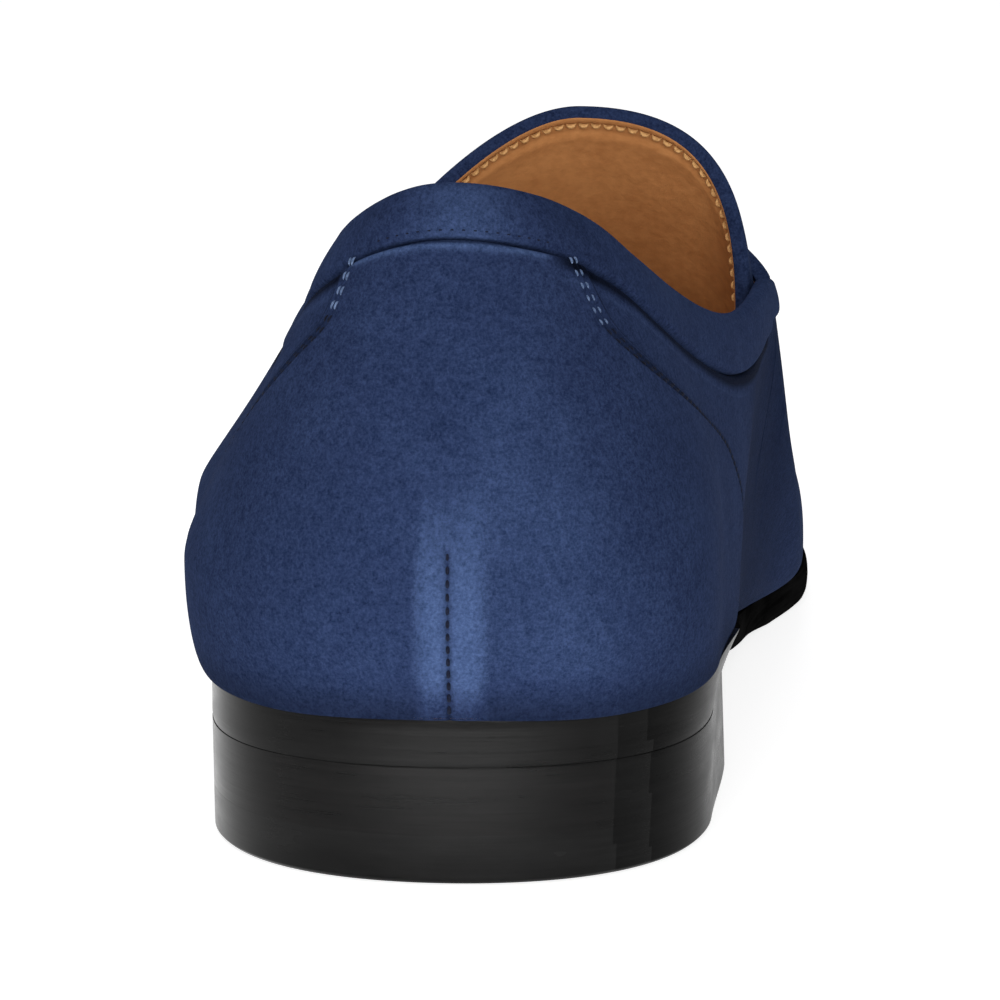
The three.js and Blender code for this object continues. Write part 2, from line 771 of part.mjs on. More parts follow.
// Tube round a list of points that lie on the surface
function tubeRings(points, normals, radius, sides) {
  return points.map((point, i) => {
    const before = points[Math.max(i - 1, 0)];
    const after = points[Math.min(i + 1, points.length - 1)];
    const ahead = after.clone().sub(before).normalize();
    const out = normals[i].clone().addScaledVector(ahead, -normals[i].dot(ahead)).normalize();
    const aside = ahead.clone().cross(out);
    const ring = [];
    for (let k = 0; k < sides; k += 1) {
      const turn = (k / sides) * 2 * Math.PI;
      ring.push(point.clone()
        .addScaledVector(out, Math.cos(turn) * radius)
        .addScaledVector(aside, Math.sin(turn) * radius));
    }
    return ring;
  });
}

// Raised seam round the apron
function apronSeam() {
  const alongs = apronAlongs(18);
  const track = [];
  alongs.forEach((along) => track.push({ along, sign: -1 }));
  [...alongs].reverse().slice(1).forEach((along) => track.push({ along, sign: 1 }));
  const place = ({ along, sign }) => {
    const round = roundAt(mix(APRON_START, along, SEAM_STRETCH)) * sign;
    const rise = 1 - apronGap(along) * SEAM_DRIFT;
    return { round, rise };
  };
  const points = track.map((spot) => {
    const { round, rise } = place(spot);
    return surface(round, rise, OVERLAY_GAP + SEAM_RADIUS);
  });
  const normals = track.map((spot) => {
    const { round, rise } = place(spot);
    return lastNormal(rise >= 1 ? Math.abs(round) : round, rise);
  });
  return solid('apron_seam', loft(tubeRings(points, normals, SEAM_RADIUS, 8), true), 0x232f55, 0.95);
}

// Strap over the vamp
function saddleStrap() {
  const riseOf = (along, share) => 1 - Math.abs(share) * (1 - STRAP_END);
  const face = OVERLAY_GAP + STRAP_THICKNESS;
  const rings = patch(between(STRAP_BACK, STRAP_FRONT, 9), STRAP_COLUMNS, riseOf, face, STRAP_THICKNESS);
  return solid('saddle_strap', loft(rings, true), 0x26325a, 0.95);
}

// Rise at a distance from the ridge, on the section through the bit
function riseFromRidge(round, distance) {
  const ridge = lastPoint(Math.abs(round), 1);
  let low = 0;
  let high = 1;
  for (let i = 0; i < 30; i += 1) {
    const middle = (low + high) / 2;
    if (lastPoint(round, middle).distanceTo(ridge) > distance) {
      low = middle;
    } else {
      high = middle;
    }
  }
  return (low + high) / 2;
}

const BIT_ROUND = roundAt(BIT_LINE);
const STRAP_FACE = OVERLAY_GAP + STRAP_THICKNESS + BIT_GAP;

// Spot on the section through the bit, at a distance from the ridge
function bitSpot(distance, out) {
  const round = distance < 0 ? -BIT_ROUND : BIT_ROUND;
  const rise = distance === 0 ? 1 : riseFromRidge(round, Math.abs(distance));
  return { point: surface(round, rise, out), normal: lastNormal(distance === 0 ? BIT_ROUND : round, rise) };
}

function bitRing(side) {
  const distance = side * BIT_SPAN / 2;
  const { point, normal } = bitSpot(distance, STRAP_FACE + BIT_WIRE_RADIUS);
  const ring = new THREE.TorusGeometry(BIT_RING_RADIUS, BIT_WIRE_RADIUS, 8, 24);
  const turn = new THREE.Quaternion().setFromUnitVectors(new THREE.Vector3(0, 0, 1), normal);
  ring.applyQuaternion(turn);
  ring.translate(point.x, point.y, point.z);
  return ring;
}

function bitBar() {
  const reach = BIT_SPAN / 2 - BIT_RING_RADIUS;
  const shares = [-1, -0.8, -0.6, -0.4, -0.2, 0, 0.2, 0.4, 0.6, 0.8, 1];
  const spots = shares.map((share) => bitSpot(share * reach, STRAP_FACE + BIT_BAR_RADIUS));
  const rings = tubeRings(spots.map((s) => s.point), spots.map((s) => s.normal), BIT_BAR_RADIUS, 10);
  return solid('bar', loft(rings, true), 0, 0).geometry;
}

const wasm = await Module();
wasm.setup();

function toManifold(geometry) {
  const bare = geometry.clone();
  bare.deleteAttribute('normal');
  bare.deleteAttribute('uv');
  const merged = mergeVertices(bare, WELD);
  return new wasm.Manifold(new wasm.Mesh({
    numProp: 3,
    vertProperties: new Float32Array(merged.attributes.position.array),
    triVerts: new Uint32Array(merged.index.array),
  }));
}

// The bit is one casting: a bar between two rings
function bit() {
  const joined = toManifold(bitBar()).add(toManifold(bitRing(-1))).add(toManifold(bitRing(1)));
  const mesh = joined.getMesh();
  const corner = (i) => new THREE.Vector3().fromArray(mesh.vertProperties, mesh.triVerts[i] * mesh.numProp);
  const triangles = [];
  for (let i = 0; i < mesh.triVerts.length; i += 3) {
    triangles.push([corner(i), corner(i + 1), corner(i + 2)]);
  }
  const piece = solid('bit', triangles, 0xc8a45a, 0.25);
  piece.material.metalness = 1;
  return piece;
}

// Profile of a keeper over the bar: distances along the shoe and heights above
// the strap, both as shares of the bar's radius
const KEEPER_PROFILE = [
  { ahead: -3.7, height: 0.00 },
  { ahead: -1.9, height: 0.00 },
  { ahead: -1.45, height: 0.60 },
  { ahead: -1.36, height: 1.20 },
  { ahead: -0.98, height: 2.10 },
  { ahead: 0.00, height: 2.50 },
  { ahead: 0.98, height: 2.10 },
  { ahead: 1.36, height: 1.20 },
  { ahead: 1.45, height: 0.60 },
  { ahead: 1.9, height: 0.00 },
  { ahead: 3.7, height: 0.00 },
];

function keeper(name, side) {
  const edges = [-0.5, 0.5].map((share) => side * (KEEPER_PLACE + share * KEEPER_WIDTH));
  const rows = KEEPER_PROFILE.map((spot, i) => {
    const before = KEEPER_PROFILE[Math.max(i - 1, 0)];
    const after = KEEPER_PROFILE[Math.min(i + 1, KEEPER_PROFILE.length - 1)];
    const run = new THREE.Vector2(after.ahead - before.ahead, after.height - before.height).normalize();
    return { spot, out: new THREE.Vector2(-run.y, run.x) };
  });
  const ring = (distance) => {
    const { point, normal } = bitSpot(distance, STRAP_FACE);
    const forward = new THREE.Vector3(0, 1, 0).addScaledVector(normal, -normal.y).normalize();
    const at = ({ spot, out }, thick) => point.clone()
      .addScaledVector(forward, spot.ahead * BIT_BAR_RADIUS + out.x * thick)
      .addScaledVector(normal, spot.height * BIT_BAR_RADIUS + out.y * thick);
    return [...rows.map((row) => at(row, 0)), ...[...rows].reverse().map((row) => at(row, KEEPER_THICKNESS))];
  };
  return solid(name, loft(edges.map(ring), true), 0x26325a, 0.95);
}

// The whole shoe
const shoe = new THREE.Group();
shoe.name = 'bit_loafer';
shoe.add(
  outsole(),
  ...heelLifts(),
  insole(),
  upper(),
  collarBand(),
  tongue(),
  apron(),
  apronSeam(),
  saddleStrap(),
  bit(),
  keeper('keeper_medial', 1),
  keeper('keeper_lateral', -1),
);

export default shoe;
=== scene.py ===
"""Navy suede bit loafer, left shoe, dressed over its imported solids."""

import math

import bpy
import bmesh
import numpy as np
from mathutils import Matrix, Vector


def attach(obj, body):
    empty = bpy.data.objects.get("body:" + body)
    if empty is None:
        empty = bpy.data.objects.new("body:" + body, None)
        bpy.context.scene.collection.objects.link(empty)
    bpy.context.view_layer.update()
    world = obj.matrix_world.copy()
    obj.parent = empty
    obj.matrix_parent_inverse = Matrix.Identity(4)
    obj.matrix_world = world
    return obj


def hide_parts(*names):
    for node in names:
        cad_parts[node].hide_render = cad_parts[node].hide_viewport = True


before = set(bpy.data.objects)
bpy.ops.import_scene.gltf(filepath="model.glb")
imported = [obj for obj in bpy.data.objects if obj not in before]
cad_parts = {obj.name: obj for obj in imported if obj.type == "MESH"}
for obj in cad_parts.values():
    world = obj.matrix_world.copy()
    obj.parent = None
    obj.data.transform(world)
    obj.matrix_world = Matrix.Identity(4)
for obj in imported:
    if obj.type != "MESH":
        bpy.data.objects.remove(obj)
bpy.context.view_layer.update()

# Sizes in millimetres, the same as the solids'
LAST_LENGTH = 288
BALL_WIDTH = 94
BACK_HEIGHT = 90.5
HEEL_HEIGHT = 21.6
HEEL_LENGTH = 72
WALL = 2.2
COUNTER_STEP = 0.8
COUNTER_EDGE = 0.8
SKIVED_STEP = 0.45
GAP = 0.3
OVERLAY_GAP = 0.45
BIT_GAP = 0.7
TONGUE_GAP = 0.45
INSOLE_THICKNESS = 3.2
INSOLE_MARGIN = 0.8
SOLE_RIM = 2.4
TOP_LIFT_THICKNESS = 6.4
HEEL_LIFT_THICKNESS = 9
HEEL_TAPER = 0.15
HEEL_CORNER = 0.9
BREAST_HOLLOW = 3
WAX_ENDS = (21.0, 25.5)
BAND_HEIGHT_BACK = 7.2
BAND_HEIGHT_SIDE = 8.6
BAND_THICKNESS = 1.3
BAND_RECESS = 1.1
BAND_CAP = 1.6
BAND_EDGE = 0.62
TONGUE_THICKNESS = 2.4
APRON_THICKNESS = 1.3
SEAM_RADIUS = 1.3
STRAP_THICKNESS = 1.4
BIT_BAR_RADIUS = 1.9
BIT_RING_RADIUS = 7.5
BIT_WIRE_RADIUS = 1.6
KEEPER_THICKNESS = 1.1
KEEPER_WIDTH = 5
KEEPER_PLACE = 3.9
BIT_SPAN = 31

# Shares along the last, round the section and of the tables
HEEL_CAP = 0.135
TOE_CAP = 0.26
HEEL_SQUARENESS = 0.05
TOE_SQUARENESS = 0.06
SIDE_END = 0.385
THROAT = 0.47
TONGUE_TIP = 0.385
TONGUE_ROOT = 0.56
APRON_START = 0.574
APRON_END = 0.925
STRAP_BACK = 0.472
STRAP_FRONT = 0.566
BIT_LINE = 0.519
LOWER = 0.2
APRON_GAP = 0.38
APRON_POWER = 2.6
SEAM_DRIFT = 1.09
SEAM_STRETCH = 1.022
STRAP_END = 0.52
TONGUE_TUCK = 0.14
TONGUE_STITCH = 2.5
STRAP_STITCH = 2.2
BAND_END = 0.45
PROBE = 0.004

HALF_TURN = math.pi / 2
MM = 0.001
BACK_Y = -HEEL_LENGTH / 2
BREAST = HEEL_LENGTH / LAST_LENGTH
HEEL_SEAT = HEEL_LIFT_THICKNESS + TOP_LIFT_THICKNESS

SECTION_NAMES = (
    "along medialSole lateralSole medialWide lateralWide medialRise lateralRise "
    "medialHollow ridge top medialUp medialOver lateralUp lateralOver"
)
SECTION_ROWS = (
    (0.000, 0.356, 0.366, 0.390, 0.388, 0.166, 0.166, 0.000, 0.000, 1.238, 0.22, 0.16, 0.22, 0.16),
    (0.130, 0.353, 0.368, 0.357, 0.396, 0.168, 0.166, 0.000, 0.032, 1.204, 0.38, 0.30, 0.12, 0.02),
    (0.250, 0.366, 0.372, 0.388, 0.419, 0.230, 0.243, 0.005, 0.096, 1.116, 0.57, 0.52, 0.04, 0.05),
    (0.385, 0.355, 0.404, 0.421, 0.403, 0.504, 0.287, 0.015, 0.127, 1.033, 0.49, 0.88, 0.16, 0.44),
    (0.520, 0.360, 0.455, 0.464, 0.475, 0.241, 0.199, 0.023, 0.128, 0.751, 0.42, 0.39, 0.30, 0.30),
    (0.610, 0.395, 0.495, 0.477, 0.505, 0.075, 0.140, 0.000, 0.112, 0.620, 0.50, 0.53, 0.37, 0.40),
    (0.700, 0.457, 0.505, 0.476, 0.512, 0.095, 0.105, 0.000, 0.085, 0.510, 0.50, 0.60, 0.44, 0.52),
    (0.800, 0.447, 0.470, 0.457, 0.475, 0.090, 0.090, 0.000, 0.060, 0.420, 0.50, 0.60, 0.50, 0.55),
    (1.000, 0.362, 0.383, 0.372, 0.394, 0.077, 0.077, 0.000, 0.045, 0.330, 0.50, 0.60, 0.50, 0.60),
)
SOLE_TOP = (
    "along top",
    (0.00, 1.008), (0.05, 1.030), (0.12, 1.030), (0.24, 0.955), (0.36, 0.715), (0.48, 0.435),
    (0.58, 0.285), (0.68, 0.245), (0.80, 0.297), (0.90, 0.430), (1.00, 0.630),
)
RIM = (
    "along medial medialLow lateral lateralLow",
    (0.000, 0.00, 0.00, 0.00, 0.00), (0.130, 0.38, 0.00, 0.00, 0.00),
    (0.250, 0.83, -0.29, 0.00, 0.00), (0.385, 0.85, 0.50, 0.40, 0.40),
    (0.500, 1.00, 1.00, 1.00, 1.00), (0.600, 1.00, 1.00, 1.00, 1.00),
    (1.000, 1.00, 1.00, 1.00, 1.00),
)
SOLE_BOTTOM = (
    "along bottom",
    (BREAST, HEEL_SEAT / HEEL_HEIGHT), (0.36, 0.475), (0.48, 0.200), (0.58, 0.060),
    (0.64, -0.010), (0.72, -0.010), (0.80, 0.045), (0.90, 0.190), (1.00, 0.400),
)
BACK_PROFILE = (
    "height setback",
    (0.246, 0.000), (0.376, -0.044), (0.497, -0.042), (0.663, -0.007),
    (0.829, 0.042), (0.994, 0.090), (1.105, 0.125), (1.238, 0.167),
)
TOE_PROFILE = (
    "up setback",
    (0.00, 0.000), (0.15, -0.003), (0.35, 0.002), (0.60, 0.014), (0.80, 0.031), (1.00, 0.076),
)
TOPLINE = (
    "along medial lateral",
    (0.000, 1.000, 1.000), (0.030, 0.968, 0.956), (0.062, 0.924, 0.918),
    (0.090, 0.876, 0.888), (0.134, 0.820, 0.845), (0.204, 0.749, 0.777),
    (0.269, 0.714, 0.735), (0.330, 0.712, 0.722), (0.385, 0.722, 0.735),
)
COUNTER_LINE = (
    "height medial lateral",
    (0.246, 0.272, 0.200), (0.433, 0.260, 0.190), (0.531, 0.230, 0.167),
    (0.575, 0.206, 0.154), (0.631, 0.165, 0.136), (0.674, 0.138, 0.121),
    (0.737, 0.109, 0.100), (0.800, 0.091, 0.082), (1.000, 0.080, 0.077),
)


# Tables and small sums


def table(names, *rows):
    return {name: np.array([row[i] for row in rows], float) for i, name in enumerate(names.split())}


SECTIONS = table(SECTION_NAMES, *SECTION_ROWS)
SOLE_TOP = table(*SOLE_TOP)
RIM = table(*RIM)
SOLE_BOTTOM = table(*SOLE_BOTTOM)
BACK_PROFILE = table(*BACK_PROFILE)
TOE_PROFILE = table(*TOE_PROFILE)
TOPLINE = table(*TOPLINE)
COUNTER_LINE = table(*COUNTER_LINE)


def mix(a, b, share):
    return a + (b - a) * share


def smooth(share):
    s = np.clip(share, 0, 1)
    return s * s * (3 - 2 * s)


def bell(distance, width):
    return np.exp(-((distance / width) ** 2))


def paired(a, b):
    return np.broadcast_arrays(np.asarray(a, float), np.asarray(b, float))


def side_of(place):
    """1 on the medial side, -1 on the lateral side."""
    return np.where(place < 0, -1.0, 1.0)


def circle(count):
    return np.linspace(0, 2 * math.pi, count + 1)[:-1]


def run_along(line):
    """How far along a line each of its points is."""
    return np.concatenate([[0], np.cumsum(np.linalg.norm(np.diff(line, axis=0), axis=1))])


def read_along(at, run, values):
    return np.stack([np.interp(at, run, values[:, i]) for i in range(3)], -1)


def curve(rows, key, name, value):
    """Smooth curve through one column of a table."""
    at, of = rows[key], rows[name]
    slope = np.empty_like(of)
    slope[1:-1] = (of[2:] - of[:-2]) / (at[2:] - at[:-2])
    slope[0] = (of[1] - of[0]) / (at[1] - at[0])
    slope[-1] = (of[-1] - of[-2]) / (at[-1] - at[-2])
    x = np.clip(value, at[0], at[-1])
    i = np.clip(np.searchsorted(at, x, side="right") - 1, 0, len(at) - 2)
    span = at[i + 1] - at[i]
    s = (x - at[i]) / span
    return (
        (2 * s**3 - 3 * s**2 + 1) * of[i]
        + (s**3 - 2 * s**2 + s) * span * slope[i]
        + (3 * s**2 - 2 * s**3) * of[i + 1]
        + (s**3 - s**2) * span * slope[i + 1]
    )


# Surface of the last. round is -1 at the toe, 0 at the back seam and 1 at the
# toe again, on the medial side where it is positive; rise is 0 at the sole and
# 1 at the ridge. Points are in millimetres.

HEEL_ARC = HEEL_CAP * HALF_TURN
TOE_ARC = TOE_CAP * HALF_TURN
HALF_PERIMETER = HEEL_ARC + (1 - HEEL_CAP - TOE_CAP) + TOE_ARC
ROUND_MM = HALF_PERIMETER * LAST_LENGTH


def plan(round_):
    run = np.abs(round_) * HALF_PERIMETER
    heel = run / HEEL_CAP
    toe = (HALF_PERIMETER - run) / TOE_CAP
    heel_square = 1 + HEEL_SQUARENESS * np.sin(2 * heel) ** 2
    toe_square = 1 + TOE_SQUARENESS * np.sin(2 * toe) ** 2
    at_heel = run < HEEL_ARC
    at_toe = HALF_PERIMETER - run < TOE_ARC
    along = np.where(
        at_heel,
        HEEL_CAP * (1 - np.cos(heel) * heel_square),
        np.where(at_toe, 1 - TOE_CAP * (1 - np.cos(toe) * toe_square), HEEL_CAP + run - HEEL_ARC),
    )
    width = np.where(
        at_heel, np.sin(heel) * heel_square, np.where(at_toe, np.sin(toe) * toe_square, 1.0)
    )
    return along, width


ROUND_STEPS = np.linspace(0, 1, 4001)
ALONG_STEPS = plan(ROUND_STEPS)[0]


def round_at(along):
    return np.interp(along, ALONG_STEPS, ROUND_STEPS)


def sole_top(along):
    return curve(SOLE_TOP, "along", "top", along) * HEEL_HEIGHT


def sole_bottom(along):
    return np.maximum(0, curve(SOLE_BOTTOM, "along", "bottom", along) * HEEL_HEIGHT)


def sided(rows, key, name, value, medial):
    """A column that is held apart for the two sides, as nameSole or medial."""
    word = name[:1].upper() + name[1:]
    return np.where(
        medial,
        curve(rows, key, "medial" + word, value),
        curve(rows, key, "lateral" + word, value),
    )


def last_point(round_, rise):
    round_, rise = paired(round_, rise)
    along, width = plan(round_)
    medial = round_ >= 0
    sign = np.where(medial, 1.0, -1.0)
    read = lambda name: sided(SECTIONS, "along", name, along, medial)
    foot = sign * read("sole") * BALL_WIDTH
    wide = sign * read("wide") * BALL_WIDTH
    ridge = curve(SECTIONS, "along", "ridge", along) * BALL_WIDTH
    bottom = sole_top(along)
    middle = bottom + read("rise") * BACK_HEIGHT
    top = curve(SECTIONS, "along", "top", along) * BACK_HEIGHT
    turn = np.clip(rise / LOWER, 0, 1) * HALF_TURN
    s = np.clip((rise - LOWER) / (1 - LOWER), 0, 1)
    out = (1 - s) ** 2 * (1 + 2 * s) + 3 * (1 - s) * s * s * read("over")
    up = 3 * (1 - s) ** 2 * s * read("up") + 3 * (1 - s) * s * s + s**3
    low = rise < LOWER
    lift = 1 - np.cos(turn)
    hollow = np.where(medial, curve(SECTIONS, "along", "medialHollow", along) * BALL_WIDTH, 0)
    drawn = hollow * (4 * lift * (1 - lift)) ** 2
    x = np.where(low, foot + (wide - foot) * np.sin(turn) - drawn, ridge + (wide - ridge) * out)
    z = np.where(low, bottom + (middle - bottom) * lift, middle + (top - middle) * up)
    share = (z - bottom) / (top - bottom)
    back = BACK_Y + curve(BACK_PROFILE, "height", "setback", z / BACK_HEIGHT) * HEEL_LENGTH
    toe = BACK_Y + LAST_LENGTH * (1 - curve(TOE_PROFILE, "up", "setback", share))
    centre = ridge * np.clip((along - 0.5) / 0.2, 0, 1)
    return np.stack([centre + (x - centre) * width, mix(back, toe, along), z], -1)


def unit(v):
    return v / np.maximum(np.linalg.norm(v, axis=-1, keepdims=True), 1e-12)


def last_normal(round_, rise):
    r0, r1 = np.clip(round_ - PROBE, -1, 1), np.clip(round_ + PROBE, -1, 1)
    s0, s1 = np.clip(rise - PROBE, 0, 1), np.clip(rise + PROBE, 0, 1)
    across = last_point(r1, rise) - last_point(r0, rise)
    up = last_point(round_, s1) - last_point(round_, s0)
    return unit(np.cross(across, up))


def surface(round_, rise, out=0.0, normals=False):
    """Points on the last's surface, moved out of it by out."""
    round_, rise = paired(round_, rise)
    shared = np.where((rise >= 1) | (np.abs(round_) >= 1), np.abs(round_), round_)
    normal = last_normal(shared, rise)
    toe = np.abs(shared) >= 1
    normal[..., 0] = np.where(toe, 0, normal[..., 0])
    normal = unit(normal)
    point = last_point(shared, rise) + normal * np.asarray(out, float)[..., None]
    return (point, normal) if normals else point


def search(measure, goal, steps=30):
    """Share from 0 to 1 at which measure, which grows, reaches the goal."""
    low, high = np.zeros_like(goal), np.ones_like(goal)
    for _ in range(steps):
        middle = (low + high) / 2
        below = measure(middle) < goal
        low, high = np.where(below, middle, low), np.where(below, high, middle)
    return (low + high) / 2


def rise_at(round_, height):
    round_, height = paired(round_, height)
    return search(lambda rise: last_point(round_, rise)[..., 2], height)


def topline_height(round_):
    return sided(TOPLINE, "along", "", plan(round_)[0], np.asarray(round_) >= 0) * BACK_HEIGHT


def topline_rise(round_, drop):
    """Rise of the opening's edge, drop below it: up the sides and over the throat."""
    round_, drop = paired(round_, drop)
    along = plan(round_)[0]
    side = side_of(round_) * round_at(SIDE_END)
    near = np.where(along <= SIDE_END, round_, side)
    start = rise_at(near, topline_height(near) - drop)
    share = np.clip((along - SIDE_END) / (THROAT - SIDE_END), 0, 1)
    over = start + (1 - start) * (1 - np.sqrt(1 - share * share))
    return np.where(along <= SIDE_END, start, np.where(along >= THROAT, 1.0, over))


def counter_round(sign, height):
    return sided(COUNTER_LINE, "height", "", height / BACK_HEIGHT, sign > 0)


def band_depth(round_):
    return mix(BAND_HEIGHT_BACK, BAND_HEIGHT_SIDE, smooth(np.abs(round_) / round_at(HEEL_CAP)))


# Meshes

WELD = 2e-6
THREAD_WELD = 1e-9
SLIVER = 1e-7
SMOOTH_ANGLE = 50
SOLE_ANGLE = 35


def placed(name, data):
    thing = bpy.data.objects.new(name, data)
    bpy.context.scene.collection.objects.link(thing)
    return thing


def build(name, points, faces, materials, slot, stands_for=(), kinds=None, painted_shading=None,
          weld=WELD, sharp=SMOOTH_ANGLE):
    """Piece from points in millimetres. kinds is the material number of each face
    and the float attribute holds the painted light (above 0) and painted shade (below 0) on the suede at
    each point."""
    mesh = bpy.data.meshes.new(name)
    mesh.from_pydata((np.asarray(points) * MM).tolist(), [], [tuple(f) for f in faces])
    if painted_shading is not None:
        layer = mesh.attributes.new("painted_shading", "FLOAT", "POINT")
        layer.data.foreach_set("value", np.asarray(painted_shading, float))
    if kinds is not None:
        mesh.polygons.foreach_set("material_index", np.asarray(kinds, int))
    bm = bmesh.new()
    bm.from_mesh(mesh)
    bmesh.ops.remove_doubles(bm, verts=bm.verts, dist=weld)
    bmesh.ops.dissolve_degenerate(bm, edges=bm.edges, dist=SLIVER)
    bmesh.ops.recalc_face_normals(bm, faces=bm.faces)
    bm.to_mesh(mesh)
    bm.free()
    piece = placed(name, mesh)
    for material in materials:
        mesh.materials.append(material)
    mesh.shade_smooth()
    mesh.set_sharp_from_angle(angle=math.radians(sharp))
    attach(piece, "root")
    if stands_for:
        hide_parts(*stands_for)


def sheet_faces(columns, rows, first=0, ring=False):
    """Faces of a grid whose points run row by row within each column."""
    faces = []
    last = rows if ring else rows - 1
    for i in range(columns - 1):
        a, b = first + i * rows, first + (i + 1) * rows
        for k in range(last):
            n = (k + 1) % rows
            faces.append((a + k, b + k, b + n, a + n))
    return faces


def lofted(rings, ends=True):
    """Points and faces of a loft through rings of one length."""
    count, size = len(rings), len(rings[0])
    faces = sheet_faces(count, size, ring=True)
    if ends:
        for start in (0, (count - 1) * size):
            for k in range(size // 2 - 1):
                faces.append((start + k, start + k + 1, start + size - k - 2, start + size - k - 1))
    return np.concatenate(rings), faces


def joined(parts):
    points, faces, base = [], [], 0
    for part, part_faces in parts:
        points.append(part)
        faces += [tuple(base + v for v in face) for face in part_faces]
        base += len(part)
    return np.concatenate(points), faces


def resampled(points, spacing):
    """Points spaced evenly along a line, and how far along it each is."""
    run = run_along(points)
    count = max(2, int(round(run[-1] / spacing)) + 1)
    at = np.linspace(0, run[-1], count)
    return read_along(at, run, points), at


def stitches(name, lines, length, gap, radius, material, slot="suede"):
    """Rows of short threads that dip into the surface at both ends. lines is a
    list of (points, normals)."""
    arch = np.array([0.0, 0.12, 0.3, 0.5, 0.7, 0.88, 1.0])
    lift = np.array([-1.0, -0.2, 0.25, 0.35, 0.25, -0.2, -1.0]) * radius
    thick = np.array([0.35, 0.8, 1.0, 1.0, 1.0, 0.8, 0.35]) * radius
    sides = 6
    turn = circle(sides)
    points, faces = [], []
    base = 0
    for line, normals in lines:
        run = run_along(line)
        count = int((run[-1] + gap) / (length + gap))
        pitch = run[-1] / max(count, 1)
        for n in range(count):
            at = (n + 0.5) * pitch + (arch - 0.5) * (pitch - gap)
            middle = read_along(at, run, line)
            up = unit(read_along(at, run, normals))
            ahead = unit(middle[-1] - middle[0])
            side = unit(np.cross(np.broadcast_to(ahead, up.shape), up))
            centre = middle + up * lift[:, None]
            ring = (
                centre[:, None]
                + side[:, None] * (np.cos(turn)[None, :, None] * thick[:, None, None])
                + up[:, None] * (np.sin(turn)[None, :, None] * thick[:, None, None])
            )
            points.append(ring.reshape(-1, 3))
            faces += sheet_faces(len(arch), sides, base, ring=True)
            end = base + (len(arch) - 1) * sides
            faces.append(tuple(base + k for k in range(sides)))
            faces.append(tuple(end + sides - 1 - k for k in range(sides)))
            base += len(arch) * sides
    build(name, np.concatenate(points), faces, [material], slot, weld=THREAD_WELD)


# Materials. Colours are linear and the noises' scales are for metres.

SUEDE_DARK = (0.0062, 0.0110, 0.0320)
SUEDE_LIGHT = (0.0215, 0.0345, 0.0850)
# The next two are the colours of the painted highlight on the suede, and SUEDE_SHADE the colour of its
# painted shade
PAINTED_HIGHLIGHT_DARK = (0.028, 0.050, 0.118)
PAINTED_HIGHLIGHT_LIGHT = (0.072, 0.116, 0.242)
SUEDE_SHADE = (0.0012, 0.0020, 0.0055)
SHEEN_TINT = (0.16, 0.30, 0.80)
TAN_DARK = (0.44, 0.185, 0.060)
TAN_LIGHT = (0.58, 0.265, 0.092)
BRASS_DARK = (0.66, 0.45, 0.17)
BRASS_LIGHT = (0.82, 0.60, 0.28)
JET = (0.002, 0.002, 0.002)
LINES_STRETCH = (45, 45, 1500)
SMEAR_STRETCH = (60, 60, 220)

# Blacked and polished leather: dark, light, roughness from and to, gloss
BLACKS = {
    "heel_black": (JET, (0.006, 0.0057, 0.0057), 0.14, 0.24, 0.09),
    "lift_black": ((0.003, 0.003, 0.003), (0.007, 0.007, 0.007), 0.18, 0.28, 0.09),
    "sole_black": (JET, (0.006, 0.006, 0.006), 0.16, 0.28, 0.09),
    "side_black": (JET, (0.005, 0.005, 0.005), 0.2, 0.3, 0.05),
    "inner_black": (JET, (0.005, 0.005, 0.005), 0.24, 0.34, 0.02),
    "edge_black": (JET, (0.008, 0.008, 0.008), 0.55, 0.7, 0.0),
}
# Thread: dark, light
THREADS = {
    "navy_thread": ((0.003, 0.004, 0.010), (0.006, 0.009, 0.022)),
    "pale_thread": ((0.05, 0.08, 0.15), (0.12, 0.17, 0.29)),
    "tan_thread": ((0.42, 0.22, 0.08), (0.62, 0.36, 0.15)),
}


class Graph:
    """One material's nodes, laid out in the piece's own coordinates."""

    def __init__(self, name):
        self.material = bpy.data.materials.new(name)
        self.material.use_nodes = True
        self.tree = self.material.node_tree
        self.place = self.added("TexCoord", {}).outputs["Object"]

    def feed(self, node, inputs):
        for name, value in inputs.items():
            if isinstance(value, (int, float)):
                node.inputs[name].default_value = value
            elif isinstance(value, tuple):
                node.inputs[name].default_value = (*value, 1.0)
            else:
                self.tree.links.new(value, node.inputs[name])

    def added(self, kind, inputs):
        node = self.tree.nodes.new("ShaderNode" + kind)
        self.feed(node, inputs)
        return node

    def noise(self, scale, detail, roughness, stretch=None, distortion=0.0):
        place = self.place
        if stretch is not None:
            mapping = self.added("Mapping", {"Vector": place})
            mapping.inputs["Scale"].default_value = stretch
            place = mapping.outputs["Vector"]
        inputs = {"Vector": place, "Scale": scale, "Detail": detail, "Roughness": roughness}
        return self.added("TexNoise", {**inputs, "Distortion": distortion}).outputs["Fac"]

    def math(self, kind, a, b):
        node = self.added("Math", {0: a, 1: b})
        node.operation = kind
        return node.outputs[0]

    def blend(self, a, share_a, b, share_b):
        return self.math("ADD", self.math("MULTIPLY", a, share_a), self.math("MULTIPLY", b, share_b))

    def between(self, value, low, high, to_low=0.0, to_high=1.0):
        inputs = {"Value": value, "From Min": low, "From Max": high, "To Min": to_low, "To Max": to_high}
        return self.added("MapRange", inputs).outputs["Result"]

    def colour(self, share, low, high):
        node = self.added("Mix", {})
        node.data_type = "RGBA"
        self.feed(node, {0: share, 6: low, 7: high})
        return node.outputs[2]

    def dressed(self, inputs, height, strength, distance):
        """The material, with its shader's inputs and its bump."""
        bump = self.added("Bump", {"Strength": strength, "Distance": distance, "Height": height})
        self.feed(self.tree.nodes["Principled BSDF"], {**inputs, "Normal": bump.outputs["Normal"]})
        return self.material


